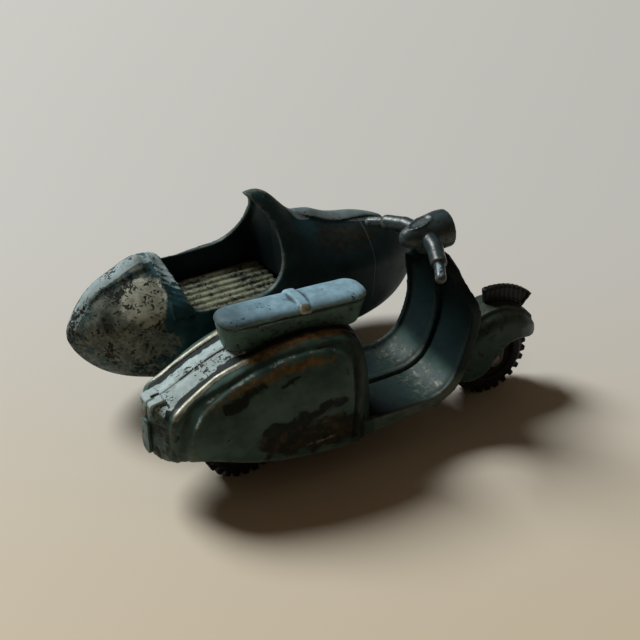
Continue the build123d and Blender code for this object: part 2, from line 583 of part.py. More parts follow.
# ---- sidecar ---------------------------------------------------------------------------------
def hull_section(section, grow):
    """A ring across the hull, grown by a distance: a gable-like top and a rounded belly."""
    x, w, z_wide, z_top, z_low, peak = section
    w, z_top, z_low = w + grow, z_top + grow, z_low - grow
    steps = (0, 15, 32, 50, 68, 90)
    upper, lower = [], []
    for a in steps:
        c, s = cos(radians(a)), sin(radians(a))
        upper.append((w * c ** (2 / peak), z_wide + (z_top - z_wide) * s ** (2 / peak)))
        lower.append((w * c ** (2 / HULL_BELLY), z_wide - (z_wide - z_low) * s ** (2 / HULL_BELLY)))
    over = [(x, y, z) for y, z in upper] + [(x, -y, z) for y, z in upper[-2::-1]]
    under = [(x, -y, z) for y, z in lower] + [(x, y, z) for y, z in lower[-2::-1]]
    return Face(Wire([Spline(*over), Spline(*under)]))


def hull_loft(grow):
    """The closed outer form, or with a negative distance the space inside it."""
    faces = []
    for i, section in enumerate(HULL_SECTIONS):
        if grow < 0 and section[1] + grow < 0.3:
            continue
        faces.append(hull_section(section, grow))
    return loft(faces)


def cockpit_cut():
    """Side view of the cockpit's opening, cut across the hull."""
    low = COCKPIT_LINE
    edge = Spline(*xz(low))
    close = Polyline(*xz([low[-1], (low[-1][0], 30), (low[0][0], 30), low[0]]))
    return through_y(side_face(edge, *close.edges()), -FAR / 2, FAR / 2)


def panel_plan(points):
    """Plan view of a raised panel along the centre line, made solid upwards."""
    over = [(x, y) for x, y in points]
    back = [(x, -y) for x, y in reversed(points)]
    outline = [Spline(*over), Line(over[-1], back[0]), Spline(*back), Line(back[-1], over[0])]
    return Location((0, 0, 11)) * extrude(Face(Wire(outline)), 20, dir=(0, 0, 1))


def screen_wall():
    """The windscreen's back: two flat panes that meet on the centre line and close the bonnet."""
    front = [(x + SCREEN_WALL, z) for x, z in SCREEN_LINE]
    face = side_face(Spline(*xz(SCREEN_LINE)), Line(*xz([SCREEN_LINE[-1], front[-1]])),
                     Spline(*xz(front[::-1])), Line(*xz([front[0], SCREEN_LINE[0]])))
    panes = [extrude(face, amount=8, dir=(-SCREEN_SWEEP, side, 0)) for side in (-1, 1)]
    return (panes[0] + panes[1]) & hull_loft(-HULL_WALL / 2)


def at_sidecar(solid):
    return Location((0, SIDECAR_Y, 0)) * solid


def hull_notch(x):
    """Opening in the hull's foot that an arm passes through."""
    half = ARM_WIDTH / 2 + 0.1
    return block((x - half, x + half), (-9, -1), (0, BASE_TOP_Z + ARM_THICKNESS + 0.1))


def side_wheel_y():
    """Middle of the sidecar wheel, counted from the sidecar's own centre line."""
    return 7.0 + SIDE_WHEEL_GAP + TREAD_HALF


SIDE_WHEEL_X = -8.0


def sidecar_body():
    """Hollow hull with its windscreen, coaming and raised panels, open below."""
    outer = hull_loft(0)
    proud = hull_loft(PANEL_PROUD) & (panel_plan(BOOT_PANEL) + panel_plan(BONNET_PANEL))
    roll = hull_loft(COAMING_PROUD) & block(COAMING_X, (-9, 9), (12.2, 30))
    hull = (outer + proud + roll) - hull_loft(-HULL_WALL) + screen_wall() - cockpit_cut()
    post = []
    for x in BASE_POSTS_X:
        post.append(rod(1.1, (x, 0, BASE_TOP_Z), (x, 0, 30)) & outer)
    boss_y = side_wheel_y() - TREAD_HALF - SIDE_PLAY
    hull += post + [pin_y(1.35, SIDE_WHEEL_X, AXLE_Z, 3.4, boss_y)]
    hull -= block((-FAR, FAR), (-FAR, FAR), (-FAR, BASE_TOP_Z))
    for x in BASE_POSTS_X:
        hull -= rod(ARM_RIVET_R, (x, 0, 0), (x, 0, BASE_TOP_Z + 2.0))
    for x in (FRONT_ARM_X, REAR_ARM_X):
        hull -= hull_notch(x)
    hull -= pin_y(AXLE_R + AXLE_SEAT_PLAY, SIDE_WHEEL_X, AXLE_Z, 0, 20)
    return at_sidecar(hull)


def sidecar_base():
    """Flat floor plate that closes the hull from below."""
    plate = hull_loft(0) & block((-FAR, FAR), (-FAR, FAR), (BASE_BOTTOM_Z, BASE_TOP_Z))
    arm_y = ARM_SIDECAR_Y - SIDECAR_Y
    places = [(x, 0) for x in BASE_POSTS_X] + [(x, arm_y) for x in (FRONT_ARM_X, REAR_ARM_X)]
    for x, y in places:
        plate -= rod(ARM_RIVET_R, (x, y, 0), (x, y, BASE_TOP_Z))
        plate -= rod(RIVET_HEAD_R + RIVET_SINK_PLAY, (x, y, 0), (x, y, RIVET_SEAT_Z))
    return at_sidecar(plate)


def sidecar_bench():
    """Ribbed bench on the floor plate, hollow below."""
    x0, x1 = BENCH_X
    w = BENCH_HALF_W
    outer = block((x0, x1), (-w, w), (BASE_TOP_Z, BENCH_TOP_Z))
    within = hull_loft(-HULL_WALL - 0.15)
    hollow = block((x0 + 1.0, x1 - 1.0), (-w + 3.2, w - 3.2), (0, BENCH_TOP_Z - 1.2))
    pitch = 2 * w / BENCH_RIBS
    half = RIB_GAP / 2
    grooves = []
    for k in range(1, BENCH_RIBS):
        y = -w + k * pitch
        grooves.append(block((x0 - 1, x1 + 1), (y - half, y + half), (BENCH_TOP_Z - RIB_DEPTH, FAR)))
    bench = (outer & within) - hollow - grooves
    bench -= pin_y(AXLE_R + 0.9, SIDE_WHEEL_X, AXLE_Z, 1.5, 20)
    y = ARM_SIDECAR_Y - SIDECAR_Y
    half = ARM_WIDTH / 2 + 0.2
    arm_top = BASE_TOP_Z + ARM_THICKNESS
    bench -= block((FRONT_ARM_X - half, FRONT_ARM_X + half), (-20, y + half), (0, arm_top + 0.6))
    return at_sidecar(bench)


def sidecar_arm(x):
    """Flat bar from the foot under the scooter to the sidecar's floor plate."""
    z0, z1 = BASE_TOP_Z, BASE_TOP_Z + ARM_THICKNESS
    y0, y1 = ARM_SCOOTER_Y, ARM_SIDECAR_Y
    half = ARM_WIDTH / 2
    bar = block((x - half, x + half), (y0, y1), (z0, z1))
    bar += [rod(half, (x, y, z0), (x, y, z1)) for y in (y0, y1)]
    for y in (y0, y1):
        bar -= rod(ARM_RIVET_R, (x, y, 0), (x, y, 10))
    return bar


def rivet(x, y, z_head, z_end):
    """Rivet from below: a flat dome under z_head and a shank up to z_end."""
    head = Cylinder(RIVET_HEAD_R, RIVET_HEAD_H, align=(Align.CENTER, Align.CENTER, Align.MAX))
    head = fillet(head.faces().sort_by(Axis.Z)[0].edges(), RIVET_HEAD_H * 0.7)
    return Location((x, y, z_head)) * head + rod(ARM_RIVET_R, (x, y, z_head), (x, y, z_end))


def arm_rivets():
    rivets = []
    top = BASE_TOP_Z + ARM_THICKNESS
    for x in (FRONT_ARM_X, REAR_ARM_X):
        rivets.append(rivet(x, ARM_SCOOTER_Y, BASE_TOP_Z, top + 1.2))
        rivets.append(rivet(x, ARM_SIDECAR_Y, RIVET_SEAT_Z, top))
    return rivets


def base_rivets():
    return [rivet(x, SIDECAR_Y, RIVET_SEAT_Z, BASE_TOP_Z + 2.0) for x in BASE_POSTS_X]


# ---- tail lamp and number plate --------------------------------------------------------------
def tail_lamp(body):
    """Lamp block on the end of the deck, with a groove along its top."""
    tilt = (0, -8, 0)
    lamp = Location((-24.0, 0, 11.25), tilt) * Box(1.8, 2.6, 1.9)
    lamp = fillet(lamp.edges().filter_by(Axis.Y), 0.35)
    return lamp - Location((-23.6, 0, 12.3), tilt) * Box(1.4, 0.4, 0.8) - cowl_loft(0) - body


def rear_number_plate():
    """Blank plate with rounded corners that stands against the tail's end, under the lamp."""
    middle = (COWL_SECTIONS[0][0], 0, REAR_PLATE_TOP_Z - REAR_PLATE_HEIGHT / 2)
    outline = RectangleRounded(REAR_PLATE_HEIGHT, REAR_PLATE_WIDTH, REAR_PLATE_CORNER)
    return Location(middle, (0, -90, 0)) * extrude(outline, REAR_PLATE_THICKNESS)


# ---- assembly --------------------------------------------------------------------------------
def build():
    body = scooter_body()
    lug_y = TREAD_HALF + SIDE_PLAY + WEB_THICKNESS
    link_y = TREAD_HALF + SIDE_PLAY + LINK_THICKNESS
    wheel_y = SIDECAR_Y + side_wheel_y()
    mudguard = front_mudguard(body)
    plain_wheel = wheel()
    return {
        "scooter_right_half": right_of(body),
        "scooter_left_half": left_of(body),
        "body_dowels": Compound(children=body_dowels()),
        "bench_seat": bench_seat(),
        "headset": headset() - body,
        "steering_stem": steering_stem(),
        "front_mudguard": mudguard,
        "front_number_plate": front_number_plate(),
        "tail_lamp": tail_lamp(body),
        "rear_number_plate": rear_number_plate(),
        "front_axle": pin_y(AXLE_R, FRONT_X, AXLE_Z, -link_y, link_y),
        "rear_axle": axle(REAR_X, -lug_y, lug_y),
        "sidecar_axle": axle(SIDE_WHEEL_X, SIDECAR_Y + 3.4, wheel_y + TREAD_HALF + SIDE_PLAY),
        "front_wheel": Location((FRONT_X, 0, AXLE_Z)) * plain_wheel,
        "rear_wheel": Location((REAR_X, 0, AXLE_Z)) * plain_wheel,
        "sidecar_wheel": Location((SIDE_WHEEL_X, wheel_y, AXLE_Z)) * plain_wheel,
        "sidecar_body": sidecar_body(),
        "sidecar_base": sidecar_base(),
        "sidecar_bench": sidecar_bench(),
        "front_sidecar_arm": sidecar_arm(FRONT_ARM_X),
        "rear_sidecar_arm": sidecar_arm(REAR_ARM_X),
        "arm_rivets": Compound(children=arm_rivets()),
        "base_rivets": Compound(children=base_rivets()),
    }


def main():
    os.makedirs("parts", exist_ok=True)
    nodes = build()
    box = Compound(children=[Compound(children=list(s.solids())) for s in nodes.values()]).bounding_box()
    origin = Location((-box.center().X, -box.center().Y, -box.min.Z))
    print("moved by", origin.position)
    for name, shape in nodes.items():
        export_step(Compound(children=[origin * s for s in shape.solids()]), f"parts/{name}.step")


main()
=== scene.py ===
import math
from itertools import product

import bpy
import numpy as np
from bpy.props import FloatProperty, FloatVectorProperty, IntProperty, PointerProperty
from bpy.types import Operator, Panel, PropertyGroup
from mathutils import Matrix, Vector


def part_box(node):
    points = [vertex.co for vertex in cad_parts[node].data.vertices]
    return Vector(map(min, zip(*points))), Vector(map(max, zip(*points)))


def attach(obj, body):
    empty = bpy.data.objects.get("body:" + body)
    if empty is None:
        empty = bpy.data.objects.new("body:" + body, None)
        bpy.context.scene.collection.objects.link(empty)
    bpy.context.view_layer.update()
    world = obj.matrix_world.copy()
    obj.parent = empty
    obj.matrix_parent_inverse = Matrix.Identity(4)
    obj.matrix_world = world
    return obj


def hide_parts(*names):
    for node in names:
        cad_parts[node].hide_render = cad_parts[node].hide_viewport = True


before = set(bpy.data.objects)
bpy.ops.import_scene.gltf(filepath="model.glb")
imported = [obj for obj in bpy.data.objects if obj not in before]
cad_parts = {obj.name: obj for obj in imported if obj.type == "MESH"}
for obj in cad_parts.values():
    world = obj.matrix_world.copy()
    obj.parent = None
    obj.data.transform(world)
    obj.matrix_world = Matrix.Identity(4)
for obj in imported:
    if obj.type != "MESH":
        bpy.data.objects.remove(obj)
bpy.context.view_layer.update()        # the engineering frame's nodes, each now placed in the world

bl_info = {
    "name": "Die-cast scooter with sidecar",
    "version": (1, 0, 0),
    "blender": (4, 5, 0),
    "location": "3D View > Sidebar > Scooter",
    "description": "Worn die-cast pocket scooter with a boat-shaped sidecar",
    "category": "Object",
}

MM = 0.001


def wheel_centre(node):
    low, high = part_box(node)
    return (low + high) / 2


def toy_origin():
    """The point on the ground midway between the scooter's two wheels; +X is forward."""
    middle = (wheel_centre("front_wheel") + wheel_centre("rear_wheel")) / 2
    return Vector((middle.x, middle.y, 0))


ORIGIN = toy_origin()
HULL_Y = 18.0            # the sidecar's centre line
TO_TOY = Matrix.Scale(1 / MM, 4) @ Matrix.Translation(-ORIGIN)
FROM_TOY = TO_TOY.inverted()

# Lines on the cowl in side view, millimetres forward and up from the origin: the rusty shoulder of
# the panel, the panel's pale edge and the channel, dark with painted shade, between that and the outer
# bead.
SHOULDER = [(-20.5, 11.5), (-18.2, 12.7), (-15.6, 13.6), (-12.2, 14.25), (-9.4, 14.35), (-6.9, 13.9)]
RIDGE = [(-21.8, 10.4), (-20.4, 12.3), (-18.2, 13.4), (-15.7, 14.2), (-12.1, 15.0), (-9.1, 15.05),
         (-6.3, 14.5)]
CHANNEL = [(-23.1, 8.0), (-22.8, 10.1), (-21.9, 11.7), (-20.0, 12.9), (-16.0, 14.5), (-11.8, 15.4),
           (-8.4, 15.4), (-5.6, 14.7), (-4.6, 13.2), (-5.0, 8.0), (-5.2, 4.0)]
# The outer bead's crest on the right side: forward, left, up.
CREST = [(-23.8, -3.5, 9.0), (-23.6, -3.47, 10.4), (-23.2, -3.4, 11.3), (-22.1, -3.1, 12.1),
         (-20.3, -2.95, 13.2), (-18.6, -2.8, 14.0), (-17.1, -2.95, 14.6), (-15.4, -3.1, 15.0),
         (-13.7, -3.25, 15.4), (-10.6, -3.3, 15.8), (-7.2, -3.2, 15.7), (-4.7, -3.1, 15.2),
         (-3.4, -3.2, 14.4)]
CREST_TOP = CREST[3:]         # the part beside the deck
CREST_BARE = CREST[2:8]       # rubbed to cream metal
CREST_RUSTY = CREST[7:12]     # brown, beside the seat
# Half the width of the pale strip along the deck: forward, half width.
DECK_HALF = [(-24.6, 2.4), (-23.9, 2.45), (-22.4, 1.9), (-20.8, 1.82), (-17.2, 1.68), (-15.8, 1.75),
             (-14.6, 1.8)]

# Where the camera stands and looks, in toy millimetres, and its roll in degrees.
EYE = (-64.04, -107.70, 91.45)
AIM = (6.08, 21.22, 0.0)
ROLL = -0.91

# The large soft lamp: its direction from the toy, and its distance and width in metres.
KEY_TOWARDS = (-0.28, 0.62, 0.73)
KEY_AWAY = 1.4
KEY_SIZE = 0.64
# Half the floor's width in metres.
FLOOR_HALF = 1.5


# ---- settings ---------------------------------------------------------------------------------
def colour(name, what, value):
    return FloatVectorProperty(name=name, description=what, default=value, size=3, min=0, max=1,
                               subtype="COLOR")


def length(name, what, value):
    return FloatProperty(name=name, description=what, default=value, min=0.0, unit="LENGTH",
                         subtype="DISTANCE", precision=5)


class CastingSettings(PropertyGroup):
    """Sizes and colours of the scooter's castings."""
    skin: length("Skin", "Spacing of the points on a large casting", 0.16 * MM)
    fine_skin: length("Fine skin", "Spacing of the points on a small casting", 0.12 * MM)
    easing: IntProperty(name="Easing", description="How far sharp edges are worn round",
                        default=5, min=0, max=40)
    paint: colour("Paint", "Dark grey-green paint on the cowls", (0.056, 0.104, 0.091))
    shade_paint: colour("Deep paint", "Darker paint in the mottling", (0.025, 0.056, 0.051))
    pale: colour("Pale wear", "Chalky pale wear on the deck", (0.40, 0.50, 0.50))
    bare: colour("Bare metal", "Cream-grey bare metal", (0.44, 0.43, 0.34))
    oxide: colour("Oxide", "Orange-brown oxide along the beads", (0.21, 0.118, 0.036))
    # Painted shade: the colour that worn paint is darkened toward in shaded places, such as inside the leg
    # shield.
    depths: colour("Depths", "Deep glossy teal inside the leg shield", (0.003, 0.0115, 0.0128))
    dark: colour("Dark wear", "Brown-black worn ground", (0.013, 0.014, 0.012))
    # The seat's colour is silver-blue wear on the cushion, with a painted sky highlight on its top.
    seat: colour("Seat", "Silver-blue wear on the cushion", (0.25, 0.41, 0.50))
    headset: colour("Headset", "Dark worn metal of the headset", (0.035, 0.060, 0.066))


class SidecarSettings(PropertyGroup):
    """Sizes and colours of the sidecar."""
    fold_height: length("Fold height", "How proud the folds of the coaming stand", 0.035 * MM)
    fold_pitch: length("Fold pitch", "Distance between the folds of the coaming", 0.85 * MM)
    paint: colour("Paint", "Dark teal paint on the hull", (0.020, 0.075, 0.088))
    shade_paint: colour("Deep paint", "Darker paint in the mottling", (0.010, 0.036, 0.044))
    # The pale colour also paints light on the upper inner face of the windscreen.
    pale: colour("Pale wear", "Pale blue-grey paint on boot and bonnet", (0.31, 0.40, 0.41))
    bare: colour("Bare metal", "Silver-beige bare metal of the tail", (0.52, 0.54, 0.44))
    under: colour("Undercoat", "Grey-green worn ground of the tail", (0.165, 0.19, 0.16))
    oxide: colour("Oxide", "Bronze-brown wear on the bonnet", (0.062, 0.047, 0.028))
    bench: colour("Bench", "Greenish-beige wear on the bench", (0.27, 0.29, 0.20))


class TrimSettings(PropertyGroup):
    """Colours of the wheels, plates and pins."""
    plastic: colour("Wheel plastic", "Black moulded plastic", (0.007, 0.008, 0.008))
    plate: colour("Number plate", "Black paint on the plates", (0.005, 0.007, 0.007))
    steel: colour("Steel", "Dull steel of pins and rivets", (0.30, 0.29, 0.27))


class StageSettings(PropertyGroup):
    """Floor, lamps and camera."""
    floor: colour("Floor", "Pale floor", (0.60, 0.58, 0.55))
    # A painted warm tint on the floor's near side, which warms the shadow there too.
    warm_floor: colour("Warm floor", "The floor's warmer near side", (0.61, 0.505, 0.36))
    key: FloatProperty(name="Key lamp", description="Light of the large soft lamp", default=22.4,
                       min=0, unit="POWER")
    fill: colour("Fill", "Soft light from all round", (0.084, 0.062, 0.041))
    lens: FloatProperty(name="Lens", description="Focal length of the camera", default=80.2,
                        min=1, unit="CAMERA")


SETTINGS = (("toy_casting", CastingSettings), ("toy_sidecar", SidecarSettings),
            ("toy_trim", TrimSettings), ("toy_stage", StageSettings))


# ---- shaping ----------------------------------------------------------------------------------
def band(values, low, high):
    """0 below low, 1 above high, smooth between."""
    t = np.clip((values - low) / (high - low), 0, 1)
    return t * t * (3 - 2 * t)


def lumps(at, size, seed=0):
    """Smooth random values from -1 to 1, one lump about so many millimetres across."""
    q = at / size
    cell = np.floor(q).astype(np.int64)
    f = q - cell
    f = f * f * (3 - 2 * f)
    total = np.zeros(len(at))
    for corner in product((0, 1), repeat=3):
        c = cell + corner
        h = (c[:, 0] * 73856093) ^ (c[:, 1] * 19349663) ^ (c[:, 2] * 83492791) ^ (seed * 40503)
        h = ((h & 0xFFFFFF) * 1103515245 + 12345) & 0xFFFFFF
        h = ((h ^ (h >> 9)) * 69069 + 1) & 0xFFFFFF
        total += (h / 0x7FFFFF - 1) * np.prod(np.where(corner, f, 1 - f), axis=1)
    return total


class Skin:
    """A fine, even skin over one CAD node, in toy millimetres while it is shaped and painted."""

    def __init__(self, node, spacing, easing):
        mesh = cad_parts[node].data.copy()
        mesh.transform(TO_TOY)
        work = bpy.data.objects.new(node + "_skin_work", mesh)
        bpy.context.scene.collection.objects.link(work)
        even = work.modifiers.new("Even skin", "REMESH")
        even.mode = "VOXEL"
        even.voxel_size = spacing / MM
        eased = work.modifiers.new("Eased edges", "SMOOTH")
        eased.factor, eased.iterations = 0.5, easing
        graph = bpy.context.evaluated_depsgraph_get()
        self.mesh = bpy.data.meshes.new_from_object(work.evaluated_get(graph))
        bpy.data.objects.remove(work)
        bpy.data.meshes.remove(mesh)
        self.node = node
        self.count = len(self.mesh.vertices)
        ends = np.empty(len(self.mesh.edges) * 2, np.int32)
        self.mesh.edges.foreach_get("vertices", ends)
        self.a, self.b = ends[::2], ends[1::2]
        self.valence = np.maximum(np.bincount(ends, minlength=self.count), 1)
        self.read()

    def read(self):
        values = np.empty(self.count * 3, np.float32)
        self.mesh.vertices.foreach_get("co", values)
        self.at = values.reshape(-1, 3).astype(float)
        self.mesh.vertex_normals.foreach_get("vector", values)
        self.normal = values.reshape(-1, 3).astype(float)

    def spread(self, values, times):
        """Values averaged with their neighbours' again and again."""
        if values.ndim == 2:
            return np.stack([self.spread(column, times) for column in values.T], axis=1)
        for _ in range(times):
            total = np.bincount(self.a, values[self.b], self.count)
            total += np.bincount(self.b, values[self.a], self.count)
            values = total / self.valence
        return values

    def relief(self, reach):
        """How far each point stands proud of the form around it, in millimetres."""
        return ((self.at - self.spread(self.at, reach)) * self.normal).sum(1)

    def raised(self, height):
        """Moves every point out along its normal."""
        self.at = self.at + self.normal * height[:, None]
        self.mesh.vertices.foreach_set("co", self.at.astype(np.float32).ravel())
        self.mesh.update()
        self.read()

    def paint(self, **masks):
        for name, values in masks.items():
            layer = self.mesh.attributes.new(name, "FLOAT", "POINT")
            layer.data.foreach_set("value", np.clip(values, 0, 1).astype(np.float32))

    def wear(self, reach=24, proud=(0.02, 0.11), sunk=(0.02, 0.12)):
        """Paints worn edges, and hollows: worn paint darkens these with dirt and painted shade, black
        plastic dusts them.
        """
        relief = self.relief(reach)
        self.paint(edge=self.spread(band(relief, *proud), 1), hollow=self.spread(band(-relief, *sunk), 1))

    def deepen(self, extra):
        """Darkens with dirt and painted shade more than the hollows that the form itself shows."""
        layer = self.mesh.attributes["hollow"]
        values = np.empty(self.count, np.float32)
        layer.data.foreach_get("value", values)
        layer.data.foreach_set("value", np.clip(values + extra, 0, 1).astype(np.float32))

    def finish(self, name, body, material):
        self.mesh.transform(FROM_TOY)
        self.mesh.shade_smooth()
        self.mesh.materials.clear()
        self.mesh.materials.append(material)
        piece = bpy.data.objects.new(name, self.mesh)
        bpy.context.scene.collection.objects.link(piece)
        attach(piece, body)
        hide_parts(self.node)
        return piece


def near_line(at, points, half, soft, axes=(0, 2)):
    """1 within half a width of a line seen along one axis, fading over soft."""
    flat = at[:, axes]
    nearest = np.full(len(at), 1e9)
    for a, b in zip(points, points[1:]):
        a, b = np.array(a, float), np.array(b, float)
        along = np.clip((flat - a) @ (b - a) / ((b - a) @ (b - a)), 0, 1)
        nearest = np.minimum(nearest, np.linalg.norm(flat - a - along[:, None] * (b - a), axis=1))
    return 1 - band(nearest, half, half + soft)


def profile(values, points):
    """A value read off a line of (place, value) points."""
    return np.interp(values, [p for p, _ in points], [v for _, v in points])


def patch(at, centre, radii, soft=0.5):
    """1 inside an ellipsoid, fading outwards."""
    return 1 - band(np.linalg.norm((at - np.array(centre)) / np.array(radii), axis=1), 1 - soft, 1 + soft)


# ---- shared shader groups ---------------------------------------------------------------------
class Board:
    """Short calls for laying out one node tree."""

    def __init__(self, tree):
        self.tree = tree

    def put(self, kind, **settings):
        node = self.tree.nodes.new(kind)
        for key, value in settings.items():
            setattr(node, key, value)
        return node

    def feed(self, socket, value):
        if isinstance(value, bpy.types.NodeSocket):
            self.tree.links.new(value, socket)
        else:
            socket.default_value = value

    def maths(self, operation, a, b=0.0):
        node = self.put("ShaderNodeMath", operation=operation)
        self.feed(node.inputs[0], a)
        self.feed(node.inputs[1], b)
        return node.outputs[0]

    def times(self, a, b):
        return self.maths("MULTIPLY", a, b)

    def step(self, value, low, high):
        node = self.put("ShaderNodeMapRange", interpolation_type="SMOOTHSTEP")
        self.feed(node.inputs["Value"], value)
        self.feed(node.inputs["From Min"], low)
        self.feed(node.inputs["From Max"], high)
        return node.outputs["Result"]

    def cloud(self, place, scale, detail=3.0, roughness=0.55, distortion=0.0):
        node = self.put("ShaderNodeTexNoise")
        self.feed(node.inputs["Vector"], place)
        self.feed(node.inputs["Scale"], scale)
        self.feed(node.inputs["Detail"], detail)
        self.feed(node.inputs["Roughness"], roughness)
        self.feed(node.inputs["Distortion"], distortion)
        return node.outputs["Fac"]

    def mix(self, factor, a, b):
        node = self.put("ShaderNodeMix", data_type="RGBA")
        self.feed(node.inputs[0], factor)
        self.feed(node.inputs[6], a if isinstance(a, bpy.types.NodeSocket) else (*a, 1))
        self.feed(node.inputs[7], b if isinstance(b, bpy.types.NodeSocket) else (*b, 1))
        return node.outputs[2]

    def value_mix(self, factor, a, b):
        node = self.put("ShaderNodeMix", data_type="FLOAT")
        self.feed(node.inputs[0], factor)
        self.feed(node.inputs[2], a)
        self.feed(node.inputs[3], b)
        return node.outputs[0]

    def painted(self, name):
        return self.put("ShaderNodeAttribute", attribute_name=name).outputs["Fac"]

    def place(self):
        """Position on the toy in millimetres."""
        where = self.put("ShaderNodeTexCoord").outputs["Object"]
        node = self.put("ShaderNodeVectorMath", operation="SCALE")
        self.feed(node.inputs[0], where)
        node.inputs["Scale"].default_value = 1 / MM
        return node.outputs[0]

    def group(self, tree, **values):
        node = self.put("ShaderNodeGroup", node_tree=tree)
        for key, value in values.items():
            self.feed(node.inputs[key.replace("_", " ")], value)
        return node.outputs[0]


def group_tree(name, inputs, output):
    """An empty shader group with named sockets: (board, input sockets, output socket)."""
    tree = bpy.data.node_groups.new(name, "ShaderNodeTree")
    for label, kind, value in inputs:
        socket = tree.interface.new_socket(label, in_out="INPUT", socket_type=kind)
        if value is not None:
            socket.default_value = value
    tree.interface.new_socket(output[0], in_out="OUTPUT", socket_type=output[1])
    board = Board(tree)
    entry, way_out = board.put("NodeGroupInput"), board.put("NodeGroupOutput")
    return board, entry.outputs, way_out.inputs[0]


VECTOR, FLOAT, COLOUR = "NodeSocketVector", "NodeSocketFloat", "NodeSocketColor"


def patchy_wear():
    """Where a layer is worn through: a painted amount, broken up with a ragged edge."""
    board, given, out = group_tree("Patchy wear", [
        ("Place", VECTOR, None), ("Amount", FLOAT, 0.0), ("Size", FLOAT, 1.0), ("Ragged", FLOAT, 1.2),
        ("Softness", FLOAT, 0.06)], ("Mask", FLOAT))
    scale = board.maths("DIVIDE", 1.0, given["Size"])
    broken = board.cloud(given["Place"], scale, 5.0, 0.62, 0.4)
    spread = board.times(board.maths("SUBTRACT", broken, 0.5), given["Ragged"])
    total = board.maths("ADD", given["Amount"], spread)
    low = board.maths("SUBTRACT", 0.5, given["Softness"])
    high = board.maths("ADD", 0.5, given["Softness"])
    board.feed(out, board.step(total, low, high))
    return board.tree


def pits():
    """Dark specks and blotches where paint or metal has pitted."""
    board, given, out = group_tree("Pits", [
        ("Place", VECTOR, None), ("Amount", FLOAT, 0.0), ("Size", FLOAT, 0.4)], ("Mask", FLOAT))
    scale = board.maths("DIVIDE", 1.0, given["Size"])
    fine = board.cloud(given["Place"], scale, 2.5, 0.6, 0.8)
    wide = board.cloud(given["Place"], board.times(scale, 0.22), 2.0)
    level = board.maths("ADD", fine, board.times(board.maths("SUBTRACT", wide, 0.5), 0.7))
    need = board.maths("SUBTRACT", 0.86, board.times(given["Amount"], 0.36))
    specks = board.step(level, need, board.maths("ADD", need, 0.05))
    board.feed(out, board.times(specks, board.step(given["Amount"], 0.02, 0.15)))
    return board.tree


def mottle():
    """Two paint colours drifting into each other."""
    board, given, out = group_tree("Mottle", [
        ("Place", VECTOR, None), ("Size", FLOAT, 2.0), ("Light", COLOUR, None), ("Dark", COLOUR, None)],
        ("Colour", COLOUR))
    scale = board.maths("DIVIDE", 1.0, given["Size"])
    drift = board.step(board.cloud(given["Place"], scale, 4.0, 0.6), 0.32, 0.66)
    board.feed(out, board.mix(drift, given["Dark"], given["Light"]))
    return board.tree


def cast_grain():
    """Fine unevenness of a small casting."""
    board, given, out = group_tree("Cast grain", [
        ("Place", VECTOR, None), ("Size", FLOAT, 0.5)], ("Height", FLOAT))
    scale = board.maths("DIVIDE", 1.0, given["Size"])
    wide = board.cloud(given["Place"], board.times(scale, 0.25), 2.0)
    fine = board.cloud(given["Place"], scale, 4.0, 0.65)
    board.feed(out, board.maths("ADD", fine, board.times(wide, 1.5)))
    return board.tree


GROUPS = {}


def shared(make):
    """The shared group that make lays out, built once."""
    if make.__name__ not in GROUPS:
        GROUPS[make.__name__] = make()
    return GROUPS[make.__name__]


# ---- materials --------------------------------------------------------------------------------
MADE = {}                # by name, for pieces that share one


def new_material(name):
    """An empty principled material: itself, its board and its shader's sockets."""
    material = MADE[name] = bpy.data.materials.new(name)
    material.use_nodes = True
    material.node_tree.nodes.clear()
    board = Board(material.node_tree)
    shader = board.put("ShaderNodeBsdfPrincipled")
    output = board.put("ShaderNodeOutputMaterial")
    board.feed(output.inputs["Surface"], shader.outputs[0])
    return material, board, shader.inputs


def shade(tint, share):
    return [c * share for c in tint]


def mottled(board, place, size, light, dark):
    """One colour drifting into a darker one, which is a colour of its own or a share of the first."""
    if isinstance(dark, float):
        dark = shade(light, dark)
    return board.group(shared(mottle), Place=place, Size=size, Light=(*light, 1), Dark=(*dark, 1))


def worn_through(board, place, amount, size, ragged, softness):
    """Where a painted amount, broken up with a ragged edge, wears a layer through."""
    return board.group(shared(patchy_wear), Place=place, Amount=amount, Size=size, Ragged=ragged,
                       Softness=softness)


def bumpy(board, shader, height, distance, strength=1.0):
    """Turns a height into fine relief, its distance in millimetres."""
    bump = board.put("ShaderNodeBump")
    board.feed(bump.inputs["Height"], height)
    bump.inputs["Distance"].default_value = distance * MM
    bump.inputs["Strength"].default_value = strength
    board.feed(shader["Normal"], bump.outputs[0])


